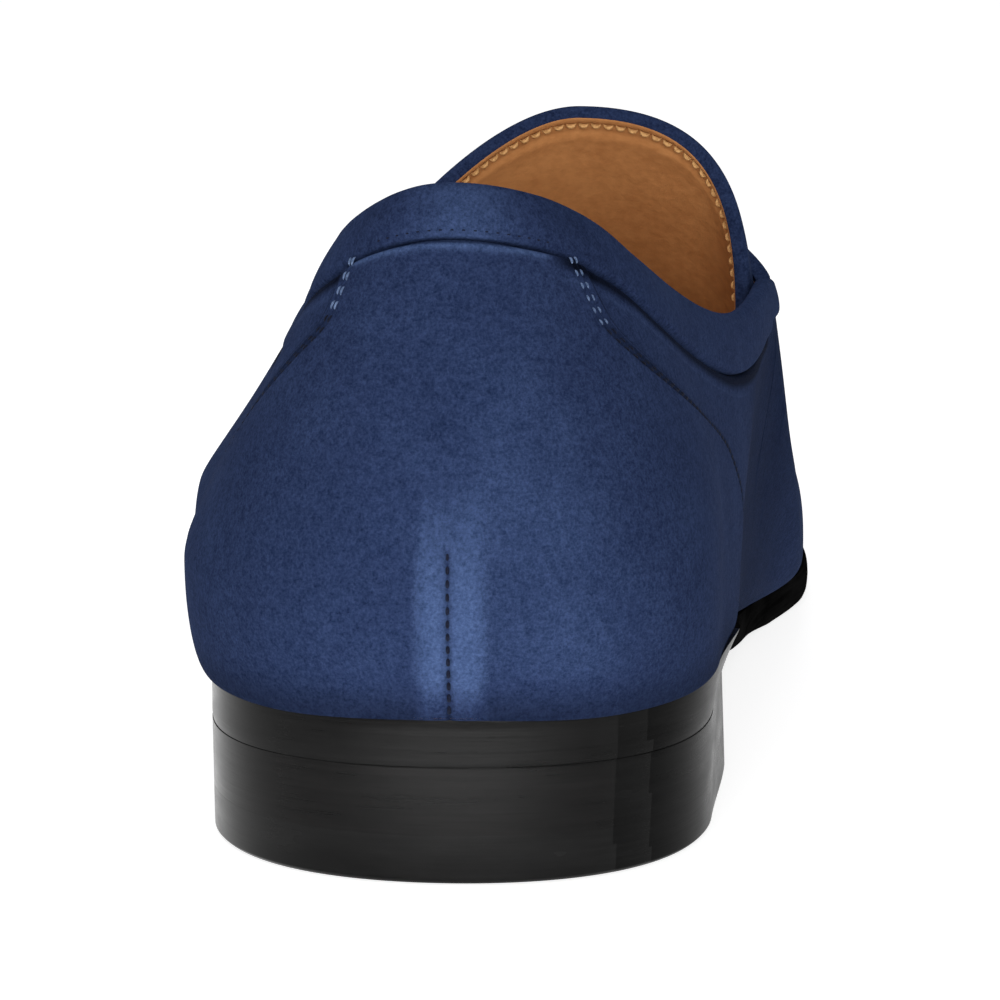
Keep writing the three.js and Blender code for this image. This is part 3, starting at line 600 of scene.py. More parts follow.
def suede_material():
    graph = Graph("navy_suede")
    grain = graph.noise(2600, 3, 0.7)
    fibre = graph.noise(900, 4, 0.65)
    cloud = graph.noise(120, 3, 0.5, distortion=0.4)
    speck = graph.between(grain, 0.36, 0.66)
    tuft = graph.between(fibre, 0.36, 0.64)
    fine = graph.blend(speck, 0.62, tuft, 0.38)
    # The float attribute holds painted light and shade: above 0 it mixes toward the painted highlight
    # colours, below 0 toward the painted shade colour; drift is a random tone
    painted_shading = graph.added("Attribute", {})
    painted_shading.attribute_name = "painted_shading"
    drift = graph.between(cloud, 0.3, 0.7, -0.05, 0.05)
    brushing_and_painted_light = graph.math("ADD", painted_shading.outputs["Fac"], drift)
    base = graph.colour(fine, SUEDE_DARK, SUEDE_LIGHT)
    painted_highlight = graph.colour(fine, PAINTED_HIGHLIGHT_DARK, PAINTED_HIGHLIGHT_LIGHT)
    lit = graph.colour(graph.between(brushing_and_painted_light, 0.0, 1.0), base, painted_highlight)
    shaded = graph.colour(graph.between(brushing_and_painted_light, 0.0, -1.0), lit, SUEDE_SHADE)
    inputs = {
        "Base Color": shaded,
        "Roughness": 1.0,
        "Specular IOR Level": 0.02,
        "Sheen Weight": 0.03,
        "Sheen Roughness": 0.45,
        "Sheen Tint": SHEEN_TINT,
    }
    return graph.dressed(inputs, graph.blend(grain, 1.0, fibre, 1.6), 0.55, 0.00022)


def lining_material():
    graph = Graph("tan_lining")
    pore = graph.noise(2200, 2, 0.5)
    grain = graph.noise(700, 4, 0.6)
    cloud = graph.noise(60, 3, 0.5)
    share = graph.between(graph.blend(grain, 0.5, cloud, 0.5), 0.38, 0.62)
    inputs = {
        "Base Color": graph.colour(share, TAN_DARK, TAN_LIGHT),
        "Roughness": graph.between(grain, 0.3, 0.7, 0.52, 0.66),
        "Specular IOR Level": 0.35,
    }
    return graph.dressed(inputs, graph.blend(pore, 1.0, grain, 1.5), 0.35, 0.00012)


def polished_material(name, dark, light, rough_low, rough_high, gloss):
    """Blacked edge, with streaks that run round the heel."""
    graph = Graph(name)
    lines = graph.noise(1.0, 4, 0.7, stretch=LINES_STRETCH)
    smear = graph.noise(1.0, 3, 0.6, stretch=SMEAR_STRETCH)
    cloud = graph.noise(45, 3, 0.5)
    share = graph.between(graph.blend(lines, 0.45, smear, 0.55), 0.36, 0.64)
    inputs = {
        "Base Color": graph.colour(share, dark, light),
        "Roughness": graph.between(smear, 0.3, 0.7, rough_low, rough_high),
        "Specular IOR Level": gloss,
    }
    return graph.dressed(inputs, graph.blend(lines, 1.0, cloud, 0.6), 0.3, 0.00012)


def thread_material(name, dark, light):
    graph = Graph(name)
    twist = graph.noise(2400, 2, 0.5)
    inputs = {
        "Base Color": graph.colour(graph.between(twist, 0.35, 0.65), dark, light),
        "Roughness": 0.8,
        "Specular IOR Level": 0.1,
    }
    return graph.dressed(inputs, twist, 0.3, 0.0001)


def metal_material():
    graph = Graph("bit_metal")
    brushing_and_painted_light = graph.noise(900, 3, 0.6)
    cloud = graph.noise(120, 2, 0.5)
    inputs = {
        "Base Color": graph.colour(cloud, BRASS_DARK, BRASS_LIGHT),
        "Roughness": graph.between(brushing_and_painted_light, 0.3, 0.7, 0.16, 0.26),
        "Metallic": 1.0,
    }
    return graph.dressed(inputs, brushing_and_painted_light, 0.08, 0.00005)


SUEDE = suede_material()
LINING = lining_material()
HEEL_BLACK, LIFT_BLACK, SOLE_BLACK, SIDE_BLACK, INNER_BLACK, EDGE_BLACK = [
    polished_material(name, *look) for name, look in BLACKS.items()
]
NAVY_THREAD, PALE_THREAD, TAN_THREAD = [
    thread_material(name, *look) for name, look in THREADS.items()
]
BRASS = metal_material()


# Upper: suede outside and lining inside, one closed shell

# Columns of points: distances behind the counter's edge in millimetres, shares
# and heights over that edge, shares along the throat
HEM = 6.0
HEM_STEPS = (
    6.0, 5.4, 4.8, 4.4, 4.1, 3.8, 3.5, 3.2, 2.9, 2.6, 2.3,
    2.0, 1.8, 1.6, 1.4, 1.2, 1.0, 0.7, 0.45, 0.25, 0.1,
)
EDGE_STEPS = (
    (0.0, 0.45), (0.18, 0.44), (0.34, 0.42), (0.46, 0.37), (0.54, 0.3), (0.6, 0.18),
    (0.64, 0.04), (0.7, -0.08), (0.82, -0.08), (1.0, -0.02),
)
BANDED_THROAT = (0, 0.09, 0.18, 0.27, 0.36, 0.45)
BARE_THROAT = (0.47, 0.52, 0.58, 0.64, 0.7, 0.76, 0.82, 0.87, 0.91, 0.94, 0.97, 0.985, 0.995, 1)
COUNTER_COLUMNS = 44
SIDE_COLUMNS = 52
VAMP_COLUMNS = 96
WALL_ROWS = 88
LINING_ROWS = 34
# Rows by the band: distance under it, share of the column's full height
NEAR_BAND = (
    (3.0, 1.0), (2.2, 1.0), (1.6, 1.0), (1.1, 0.99), (0.8, 0.97), (0.55, 0.92),
    (0.38, 0.84), (0.24, 0.72), (0.13, 0.55), (0.06, 0.3), (0.0, 0.0),
)
BAND_FREE = 3.0
SETTLE_STEPS = 9
FAR_UNDER = 9.0
STITCH_ROWS = (1.2, 2.7)


def upper_columns():
    """(zone, place in it, whether the band covers its top, height of the surface)"""
    columns = []
    for i in range(COUNTER_COLUMNS):
        columns.append(("counter", (i / COUNTER_COLUMNS) ** 1.25, True, COUNTER_STEP))
    for distance in HEM_STEPS:
        groove = sum(bell(distance - row, 0.35) for row in STITCH_ROWS)
        thin = (COUNTER_STEP - SKIVED_STEP) * (1 - smooth(distance / 4.0))
        columns.append(("hem", distance, True, COUNTER_STEP - thin - 0.2 * groove))
    columns += [("edge", share, True, height) for share, height in EDGE_STEPS]
    columns += [("side", i / SIDE_COLUMNS, True, 0.0) for i in range(1, SIDE_COLUMNS)]
    columns += [("throat", share, True, 0.0) for share in BANDED_THROAT]
    columns += [("throat", share, False, 0.0) for share in BARE_THROAT]
    columns += [("vamp", i / VAMP_COLUMNS, False, 0.0) for i in range(1, VAMP_COLUMNS + 1)]
    return columns


SIDE_ROUND = float(round_at(SIDE_END))
THROAT_ROUND = float(round_at(THROAT))


def column_round(columns, sign, height):
    """Share of the perimeter of each column, at a height: one row for each."""
    edge = counter_round(sign, height)
    width = COUNTER_EDGE / LAST_LENGTH
    rows = []
    for i, (zone, place, _, _) in enumerate(columns):
        at = edge[i]
        if zone == "counter":
            rows.append((at - HEM / ROUND_MM) * place)
        elif zone == "hem":
            rows.append(at - place / ROUND_MM)
        elif zone == "edge":
            rows.append(at + width * place)
        elif zone == "side":
            rows.append(mix(at + width, SIDE_ROUND, place))
        elif zone == "throat":
            along = mix(SIDE_END, THROAT, place)
            rows.append(np.full_like(at, THROAT_ROUND if place >= 1 else round_at(along)))
        else:
            rows.append(np.full_like(at, mix(THROAT_ROUND, 1.0, place)))
    return np.array(rows) * sign


# Soft troughs of the leather: two ends as (round, height in mm), depth, width
CREASES = (
    ((0.585, 24.0), (0.625, 40.0), 0.35, 5.0),
    ((0.640, 20.0), (0.672, 35.0), 0.30, 4.5),
    ((-0.560, 22.0), (-0.620, 42.0), 0.40, 5.5),
    ((-0.625, 18.0), (-0.668, 36.0), 0.35, 5.0),
)


def crease_depth(round_, height):
    """Sum of the troughs, with a low ridge along each side of every trough."""
    total = np.zeros_like(round_)
    x, y = round_ * ROUND_MM, height
    for (r0, z0), (r1, z1), depth, width in CREASES:
        ax, ay, bx, by = r0 * ROUND_MM, z0, r1 * ROUND_MM, z1
        dx, dy = bx - ax, by - ay
        size = math.hypot(dx, dy)
        s = ((x - ax) * dx + (y - ay) * dy) / size**2
        off = ((x - ax) * dy - (y - ay) * dx) / size
        ends = smooth((s + 0.35) / 0.5) * smooth((1.35 - s) / 0.5)
        trough = bell(off, width * 0.45)
        ridges = bell(off - width, width * 0.6) + bell(off + width, width * 0.6)
        total += depth * ends * (0.35 * ridges - trough)
    return total


def wobble(point):
    """Slow unevenness of the leather."""
    x, y, z = point[..., 0], point[..., 1], point[..., 2]
    return (
        0.10 * np.sin(y / 13 + 1.2 * np.sin(z / 17)) * np.sin(z / 11 + x / 23)
        + 0.06 * np.sin(y / 7.3 - x / 9 + 0.8) * np.sin(z / 6.1 + 2)
    )


# Painted light and shade on the suede. Places are in millimetres, round the last from the back seam and
# up from the floor. The short seam up the middle of the back ends at DART_TOP.
DART_TOP = 45.5
# Painted highlight over that seam: its edges and lightness
PATCH_LEFT, PATCH_RIGHT = -4.9, 6.2
PATCH_TOP, PATCH_BOTTOM = 56, 21
PATCH_HIGHLIGHT = 0.50
# Painted highlights: lightness, then middle and width round the last and up it
HIGHLIGHT_SPOTS = ((0.10, 17, 9, 32, 9), (0.14, 11, 12, 52, 15))
SEAM_SHADE = -0.45
# Painted shade over the sole, up to SOLE_SHADE_TOP, and on the medial side of the waist
SOLE_SHADE, SOLE_SHADE_TOP, SOLE_SHADE_END = -0.50, 28.5, 70
WAIST_SHADE, WAIST_SHADE_TOP = -0.50, 67
WAIST_START, WAIST_END = 98, 150
# How far round each side the ridge under the band gets a painted highlight
BACK_MEDIAL, BACK_LATERAL = 20, 23


def dart_depth(round_, height):
    """Groove of the short seam up the middle of the back."""
    reach = smooth((DART_TOP - height) / 3.5)
    off = np.abs(round_) * ROUND_MM
    return reach * (-0.34 * bell(off, 0.55) + 0.10 * bell(off - 2.2, 1.4))


def painted_shading_at(round_, height):
    """Painted light (above 0) and painted shade (below 0) on the suede."""
    off = round_ * ROUND_MM
    wide = smooth((off - PATCH_LEFT) / 1.5) * smooth((PATCH_RIGHT - off) / 2.8)
    tall = smooth((PATCH_TOP - height) / 20) * smooth((height - PATCH_BOTTOM) / 4 + 0.3)
    painted_shading = wide * tall * PATCH_HIGHLIGHT
    for light, at, width, up, tallness in HIGHLIGHT_SPOTS:
        painted_shading = painted_shading + light * bell(off - at, width) * bell(height - up, tallness)
    painted_shading = painted_shading + SEAM_SHADE * bell(off, 0.45) * smooth((DART_TOP - height) / 2)
    ends = 1 - smooth((np.abs(off) - SOLE_SHADE_END) / 30)
    painted_shading = painted_shading + SOLE_SHADE * smooth((SOLE_SHADE_TOP - height) / 6.5) * ends
    start, end = smooth((off - WAIST_START) / 22), 1 - smooth((off - WAIST_END) / 55)
    return painted_shading + WAIST_SHADE * start * end * smooth((WAIST_SHADE_TOP - height) / 12)


def seam_painted_shading(zones, places, sign, round_, height, under):
    """Painted light and shade by the sewn edges: painted highlight on the ridge over the back and on the
    lip below the band at the sides, painted shade in the groove under the band at the sides, along the
    stitched rows and along the counter's front edge. under is the way down from the band."""
    off = np.abs(round_) * ROUND_MM
    back = 1 - smooth((off - (BACK_LATERAL if sign < 0 else BACK_MEDIAL)) / 8)
    # Painted highlight on the ridge and the lip; painted shade in the groove, along the rows and along
    # the edge
    ridge = 0.60 * back * bell(under - 0.5, 0.5)
    groove = -1.1 * (1 - back) * (1 - smooth((under - 0.9) / 1.5))
    lip = 0.12 * (1 - back) * bell(under - 3.0, 0.7)
    hem = (zones == "hem") * (smooth((3.6 - places) / 0.6) * smooth(places / 0.6))
    front = (zones == "edge") * (1 - smooth((np.abs(places - 0.45) - 0.3) / 0.3))
    rows = -0.50 * hem[:, None] * smooth((74 - height) / 5)
    line = -0.55 * front[:, None] * smooth((80 - height) / 4)
    return ridge + groove + lip + rows + line


def column_places(columns, sign, base, rise):
    """round and height of every point of the columns, from its rise."""
    round_ = np.broadcast_to(base[:, None], rise.shape)
    for _ in range(SETTLE_STEPS):
        height = last_point(round_, rise)[..., 2]
        round_ = 0.5 * (round_ + column_round(columns, sign, height))
    return round_, height


def upper_side(columns, sign):
    """Outside points, lining points and painted light and shade of one side, a row for each column."""
    count = len(columns)
    zones, places, banded, raised = [np.array(values) for values in zip(*columns)]
    base = column_round(columns, sign, np.full((count, 1), BACK_HEIGHT))[:, 0]
    follows = np.isin(zones, ("counter", "hem", "edge", "side"))
    for _ in range(6):
        height = topline_height(base)[:, None]
        base = np.where(follows, column_round(columns, sign, height)[:, 0], base)
    closed = (zones == "vamp") | ((zones == "throat") & (places >= 1))

    def settled(drop_of):
        """Rise of each column at a drop below the topline, where the column is there."""
        at = base
        for _ in range(SETTLE_STEPS):
            rise = topline_rise(at, drop_of(at))
            height = last_point(at, rise)[..., 2]
            edge = column_round(columns, sign, height[:, None])[:, 0]
            at = np.where(follows, 0.5 * (at + edge), at)
        return rise

    limit = np.where(closed, 1.0, settled(lambda at: np.where(banded, BAND_CAP + GAP, 0.0)))
    lower = settled(lambda at: band_depth(at) + GAP + BAND_FREE)
    lower = np.where(banded, lower, limit * 0.94)
    rises = [lower * k / WALL_ROWS for k in range(WALL_ROWS)]
    outs = [raised] * WALL_ROWS
    unders = [FAR_UNDER] * WALL_ROWS
    for i, (drop, full) in enumerate(NEAR_BAND):
        rise = settled(lambda at: band_depth(at) + GAP + drop)
        rises.append(np.where(banded, rise, mix(lower, limit, i / len(NEAR_BAND))))
        sunk = np.where(raised > 0.4, raised * full, raised - 0.8 * (1 - full))
        outs.append(np.where(banded, sunk, raised))
        unders.append(drop)
    shelf = np.where(banded, settled(lambda at: band_depth(at) + GAP - 0.15), mix(lower, limit, 0.97))
    for share in (0.0, 0.5, 1.0):
        rises.append(mix(shelf, limit, share))
        outs.append(np.where(banded, -BAND_RECESS, raised))
        unders.append(0.0)
    rise, out = np.array(rises).T, np.array(outs).T
    round_, height = column_places(columns, sign, base, rise)
    free = out > -0.5
    relief = crease_depth(round_, height) + dart_depth(round_, height)
    relief = relief + wobble(last_point(round_, rise)) * smooth(rise / 0.1)
    relief = relief + pleats(round_, rise)
    outside = surface(round_, rise, out + relief * free)
    outside[:, 0, 2] = sole_top(plan(round_[:, 0])[0]) + GAP
    # Painted light and shade on the suede, which the material reads from a float attribute
    painted_marks = painted_shading_at(round_, height)
    under = np.where(banded[:, None], np.array(unders)[None, :], FAR_UNDER)
    painted_marks = painted_marks + seam_painted_shading(zones, places, sign, round_, height, under)
    inside_rise = np.stack([limit * k / LINING_ROWS for k in range(LINING_ROWS + 1)], -1)
    inside = surface(column_places(columns, sign, base, inside_rise)[0], inside_rise, -WALL)
    inside[:, 0, 2] = outside[:, 0, 2]
    return outside, inside, painted_marks


# Distance from one gather, and one stitch, of the apron's seam to the next
SEAM_PITCH = 4.6
SEAM_STEP = 0.35
LOOP_TURN = 1.9


def apron_gap(along):
    share = np.clip((along - APRON_START) / (APRON_END - APRON_START), 0, 1)
    return APRON_GAP * (1 - share**APRON_POWER) ** (1 / APRON_POWER)


def apron_track(count):
    """round and rise along the apron's raised seam, from side to side."""
    t = np.linspace(-1, 1, count)
    alongs = mix(APRON_START, APRON_END, np.sin((1 - np.abs(t)) * HALF_TURN))
    round_ = side_of(t) * round_at(mix(APRON_START, alongs, SEAM_STRETCH))
    rise = 1 - apron_gap(alongs) * SEAM_DRIFT
    return round_, rise


def apron_distance(points):
    """Distance of points from the apron's seam, and how far along the seam they are."""
    round_, rise = apron_track(400)
    line = last_point(round_, rise)
    run = run_along(line)
    flat = points.reshape(-1, 3)
    best = np.full(len(flat), 1e9)
    at = np.zeros(len(flat))
    for start in range(0, len(flat), 4000):
        part = flat[start:start + 4000]
        gaps = np.linalg.norm(part[:, None] - line[None], axis=-1)
        nearest = gaps.argmin(1)
        best[start:start + 4000] = gaps[np.arange(len(part)), nearest]
        at[start:start + 4000] = run[nearest]
    return best.reshape(points.shape[:-1]), at.reshape(points.shape[:-1])


def pleats(round_, rise):
    """Small gathers of the vamp where it is sewn to the apron."""
    along = plan(round_)[0]
    result = np.zeros_like(round_)
    near = (along > APRON_START - 0.03) & (rise > 0.3)
    if near.any():
        gap, at = apron_distance(last_point(round_[near], rise[near]))
        swell = 0.30 * np.cos(2 * math.pi * at / SEAM_PITCH) * bell(gap - 1.5, 3.2)
        hollow = -0.35 * bell(gap, 1.6)
        result[near] = swell * smooth((along[near] - APRON_START) / 0.05) + hollow
    return result


def upper_piece():
    columns = upper_columns()
    lateral = upper_side(columns, -1.0)
    medial = upper_side(columns, 1.0)
    outside, inside, painted_marks = [
        np.concatenate([one[::-1], other[1:]]) for one, other in zip(lateral, medial)
    ]
    zones = [c[0] for c in columns[::-1]] + [c[0] for c in columns[1:]]
    rows = outside.shape[1]
    lining = inside.shape[1]
    ring = np.concatenate([outside, inside[:, ::-1]], 1)
    size = rows + lining
    count = len(ring)
    faces, kinds = [], []
    for i in range(count - 1):
        a, b = i * size, (i + 1) * size
        shut = zones[i] == "vamp" or zones[i + 1] == "vamp"
        for k in range(size):
            if shut and k == rows - 1:
                continue
            n = (k + 1) % size
            faces.append((a + k, b + k, b + n, a + n))
            hemmed = zones[i] == "throat" and zones[i + 1] == "throat"
            kinds.append(0 if k < rows - 1 + 3 * hemmed else 1)
    painted_shading = np.concatenate([painted_marks, np.zeros((count, lining))], 1)
    build("upper_suede", ring.reshape(-1, 3), faces, [SUEDE, LINING], "suede", ["upper"],
          kinds=kinds, painted_shading=painted_shading.reshape(-1))


# Collar band: rolled over the topline


def band_piece():
    end = float(round_at(mix(SIDE_END, THROAT, BAND_END)))
    rounds = np.linspace(-end, end, 360)
    deep = band_depth(rounds)
    inner_face = GAP - BAND_RECESS
    face = inner_face + BAND_THICKNESS
    centre, reach = (face - WALL) / 2, (face + WALL) / 2
    profile = []
    for turn in np.linspace(0, math.pi, 13):
        profile.append(("cap", BAND_CAP * (1 - math.sin(turn)), centre + reach * math.cos(turn)))
    for share in (0.0, 0.5, 1.0):
        profile.append(("back", BAND_CAP + share * 0.001, mix(-WALL, inner_face, share)))
    for share in (0.5, 1.0):
        profile.append(("under", share, inner_face))
    edge = BAND_EDGE
    for turn in np.linspace(0, HALF_TURN, 5)[1:]:
        profile.append(("edge", edge * (1 - math.cos(turn)), mix(inner_face, face, math.sin(turn))))
    for share in np.linspace(0, 1, 12)[1:-1]:
        profile.append(("face", share, face))
    columns = []
    for kind, place, out in profile:
        if kind in ("cap", "back"):
            drop, height = np.full_like(deep, place), np.full_like(deep, out)
        elif kind == "under":
            drop, height = mix(BAND_CAP, deep, place), np.full_like(deep, out)
        elif kind == "edge":
            drop, height = deep - place, np.full_like(deep, out)
        else:
            drop = mix(deep - edge, BAND_CAP, place)
            seam = 0.06 * bell(drop - deep + 1.6, 0.4)
            height = np.full_like(deep, out) + 0.28 * math.sin(math.pi * place) - seam
        columns.append(surface(rounds, topline_rise(rounds, drop), height))
    rings = np.stack(columns, 1)
    off = np.repeat(rounds * ROUND_MM, rings.shape[1])
    # Painted highlight over the back of the band and painted shade to each side
    painted_shading = 0.26 * bell(off - 3, 13) - 0.12 * bell(off - 30, 9) - 0.10 * bell(off + 22, 5)
    build("collar_band_suede", *lofted(rings), [SUEDE], "suede", ["collar_band"], painted_shading=painted_shading)


# Patches on the top of the foot: tongue, apron and strap


def patch_rings(alongs, shares, rise_of, depth):
    """One open row of points for each along, across the ridge from side to side."""
    along, share = paired(np.asarray(alongs)[:, None], np.asarray(shares)[None, :])
    rise = rise_of(along, share)
    round_ = side_of(share) * round_at(along)
    return surface(round_, rise, depth(along, rise, share))


def slab(alongs, shares, rise_of, outer, inner):
    top = patch_rings(alongs, shares, rise_of, outer)
    bottom = patch_rings(alongs, shares, rise_of, inner)
    return [np.concatenate([a, b[::-1]]) for a, b in zip(top, bottom)]


def tongue_rise(along, share):
    side = side_of(share) * round_at(np.minimum(along, SIDE_END))
    return 1 - np.abs(share) * (1 - topline_rise(side, 0.0) + TONGUE_TUCK)


def tongue_piece():
    tip_run = 1.3 / LAST_LENGTH
    turns = np.linspace(0, HALF_TURN, 7)
    tip = [TONGUE_TIP + tip_run * (1 - math.sin(t)) for t in turns[::-1]]
    alongs = np.array(tip + [mix(tip[-1], TONGUE_ROOT, (i / 60) ** 1.25) for i in range(1, 61)])
    shares = np.linspace(-1, 1, 141)
    half = TONGUE_THICKNESS / 2

    def round_off(along):
        s = np.clip((along - TONGUE_TIP) / tip_run, 0, 1)
        return half * (1 - np.sqrt(np.maximum(0, 1 - (1 - s) ** 2)))

    def bevel(along):
        run = (along - TONGUE_TIP) * LAST_LENGTH
        dip = 0.22 * bell(run - TONGUE_STITCH, 0.6)
        return 0.5 * smooth((run - 4.2) / 2.5) * (1 - smooth((run - 12) / 14)) - dip

    face = -WALL - TONGUE_GAP
    outer = lambda a, r, s: face - round_off(a)
    inner = lambda a, r, s: face - TONGUE_THICKNESS + 0.35 * round_off(a) - bevel(a)
    rings = slab(alongs, shares, tongue_rise, outer, inner)
    back, size = len(shares), len(rings[0])
    kinds = []
    for i in range(len(rings) - 1):
        for k in range(size):
            wrapped = i < 2 or (i < len(tip) + 2 and k == size - 1)
            kinds.append(0 if k < back or wrapped else 1)
    kinds += [0] * (2 * back - 2)
    build("tongue_dressed", *lofted(rings), [SUEDE, LINING], "suede", ["tongue"], kinds=kinds)


def apron_piece():
    t = np.sin(np.linspace(0, 1, 70) * HALF_TURN)
    alongs = mix(APRON_START, APRON_END, t)
    shares = np.sin(np.linspace(-1, 1, 81) * HALF_TURN)

    def outer(along, rise, share):
        edge = np.sqrt(np.clip(1 - np.abs(share) ** 8, 0, 1))
        start = np.sqrt(np.clip(1 - (1 - smooth((along - APRON_START) / 0.006)) ** 4, 0, 1))
        return OVERLAY_GAP + APRON_THICKNESS * (0.25 + 0.75 * edge * start)

    inner = lambda along, rise, share: np.full_like(along, OVERLAY_GAP)
    rise_of = lambda along, share: 1 - np.abs(share) * apron_gap(along) * 0.985
    rings = slab(alongs, shares, rise_of, outer, inner)
    build("apron_suede", *lofted(rings), [SUEDE], "suede", ["apron"])


def tube(points, normals, radii, sides):
    """Rings round a line; radii is one number or one for each point."""
    points, normals = np.asarray(points), np.asarray(normals)
    ahead = unit(np.gradient(points, axis=0))
    out = unit(normals - ahead * np.sum(normals * ahead, -1, keepdims=True))
    aside = np.cross(ahead, out)
    turn = circle(sides)
    radii = np.broadcast_to(np.asarray(radii, float).reshape(-1, 1), (len(points), sides))
    return (
        points[:, None]
        + out[:, None] * (np.cos(turn)[None, :] * radii)[..., None]
        + aside[:, None] * (np.sin(turn)[None, :] * radii)[..., None]
    )


def apron_seam_piece():
    round_, rise = apron_track(900)
    point, normal = surface(round_, rise, OVERLAY_GAP + SEAM_RADIUS * 0.75, normals=True)
    line, at = resampled(point, SEAM_STEP)
    normals = unit(read_along(at, np.linspace(0, at[-1], len(normal)), normal))
    pinch = SEAM_RADIUS * (1 + 0.10 * np.cos(2 * math.pi * at / SEAM_PITCH))
    seam = lofted(tube(line, normals, pinch, 14))
    build("apron_seam_suede", *seam, [SUEDE], "suede", ["apron_seam"])
    over = []
    turn = np.linspace(-LOOP_TURN, LOOP_TURN, 15)
    for n in range(int(at[-1] / SEAM_PITCH)):
        i = int((n + 0.5) * SEAM_PITCH / SEAM_STEP)
        ahead = unit(line[min(i + 2, len(line) - 1)] - line[max(i - 2, 0)])
        out = unit(normals[i] - ahead * float(np.dot(normals[i], ahead)))
        aside = np.cross(ahead, out)
        slant = ahead[None] * (turn / LOOP_TURN * 0.5)[:, None]
        spoke = out[None] * np.cos(turn)[:, None] + aside[None] * np.sin(turn)[:, None]
        loop = line[i] + slant + spoke * (SEAM_RADIUS * 1.06)
        over.append(lofted(tube(loop, spoke, 0.32, 6)))
    build("apron_seam_thread", *joined(over), [NAVY_THREAD], "suede", weld=THREAD_WELD)


def strap_piece():
    alongs = mix(STRAP_BACK, STRAP_FRONT, (1 - np.cos(np.linspace(0, math.pi, 40))) / 2)
    shares = np.sin(np.linspace(-1, 1, 121) * HALF_TURN)

    def outer(along, rise, share):
        t = (along - STRAP_BACK) / (STRAP_FRONT - STRAP_BACK)
        end = np.clip(1 - np.abs(2 * t - 1) ** 14, 0, 1) ** 0.5
        side = np.clip(1 - np.abs(share) ** 40, 0, 1) ** 0.5
        run = np.minimum(t, 1 - t) * (STRAP_FRONT - STRAP_BACK) * LAST_LENGTH
        groove = 0.12 * bell(run - STRAP_STITCH, 0.5)
        return OVERLAY_GAP + STRAP_THICKNESS * (0.3 + 0.7 * end * side) - groove

    inner = lambda along, rise, share: np.full_like(along, OVERLAY_GAP)
    rise_of = lambda along, share: 1 - np.abs(share) * (1 - STRAP_END)
    rings = slab(alongs, shares, rise_of, outer, inner)
    build("saddle_strap_suede", *lofted(rings), [SUEDE], "suede", ["saddle_strap"])


# Sole, heel and insole

# Levels of the sole's edge in front of the heel: share down it, millimetres out
SOLE_LEVELS = (
    (0.0, -0.5), (0.12, -0.12), (0.25, 0.0), (0.45, 0.05),
    (0.6, 0.0), (0.75, -0.1), (0.88, -0.4), (1.0, -1.1),
)


def sole_edge(round_, rim):
    shared = np.where((np.abs(round_) >= 1) | (round_ == 0), np.abs(round_), round_)
    point = last_point(shared, 0.0)
    ahead = last_point(np.clip(shared + PROBE, -1, 1), 0.0)
    behind = last_point(np.clip(shared - PROBE, -1, 1), 0.0)
    out = np.stack([ahead[..., 1] - behind[..., 1], behind[..., 0] - ahead[..., 0], 0 * shared], -1)
    out = unit(out)
    out[np.abs(shared) >= 1] = (0, 1, 0)
    out[shared == 0] = (0, -1, 0)
    return point + out * np.asarray(rim, float)[..., None]


def rim_at(round_, name=""):
    return SOLE_RIM * sided(RIM, "along", name, plan(round_)[0], np.asarray(round_) >= 0)


def sole_rounds(end, count):
    limit = 1.0 if end >= 1 else float(round_at(end))
    return np.linspace(0, 1, count + 1) * limit


def edged_slab(rounds, heights, rims, hollow=None):
    """Flat piece through stacked outlines, from the top face down: heights is one
    array for each level and rims one function of the signed place round it."""
    across = np.concatenate([[1.0], np.linspace(0.96, -0.96, 15), [-1.0]])
    hollow = np.zeros_like(rounds) if hollow is None else hollow
    sides = [(sole_edge(rounds, rim(rounds)), sole_edge(-rounds, rim(-rounds))) for rim in rims]
    last = len(heights) - 1

    def at(i, level, share):
        medial, lateral = sides[level][0][i], sides[level][1][i]
        p = mix(lateral, medial, (share + 1) / 2)
        return (p[0], p[1] - hollow[i] * (1 - share * share), heights[level][i])

    rings = []
    for i in range(len(rounds)):
        ring = [at(i, 0, share) for share in across]
        ring += [at(i, level, -1.0) for level in range(1, last + 1)]
        ring += [at(i, last, share) for share in across[::-1][1:-1]]
        ring += [at(i, level, 1.0) for level in range(last, 0, -1)]
        rings.append(np.array(ring))
    front = [[at(-1, level, share) for share in across] for level in range(last + 1)]
    return rings, np.array(front)


def wax_kinds(points, faces):
    """Which black each face has: less wax on the inner side of the heel, none in
    front of it."""
    middle = np.array([points[list(face)].mean(axis=0) for face in faces])
    inner = np.searchsorted(WAX_ENDS, middle[:, 0])
    return np.where(middle[:, 1] > BACK_Y + HEEL_LENGTH - 1, len(WAX_ENDS) + 1, inner)


def outsole_piece():
    heel = sole_rounds(BREAST, 70)
    front = sole_rounds(1, 170)
    front = front[plan(front)[0] > BREAST + 0.01]
    rounds = np.concatenate([heel, front])
    along = plan(rounds)[0]
    top, bottom = sole_top(along), sole_bottom(along)
    front_share = smooth((along - BREAST) / 0.06)
    heights = [mix(top, bottom, down) for down, _ in SOLE_LEVELS]

    def rim_of(down, lay):
        extra = mix(-0.12 if down in (0.0, 1.0) else 0.0, lay, front_share)
        return lambda signed: mix(rim_at(signed), rim_at(signed, "low"), down) + extra

    rings, _ = edged_slab(rounds, heights, [rim_of(down, lay) for down, lay in SOLE_LEVELS])
    points, faces = lofted(rings, False)
    blacks = [SOLE_BLACK, SIDE_BLACK, INNER_BLACK, EDGE_BLACK]
    build("outsole_black", points, faces, blacks, "sole_edge", ["outsole"],
          kinds=wax_kinds(points, faces), sharp=SOLE_ANGLE)


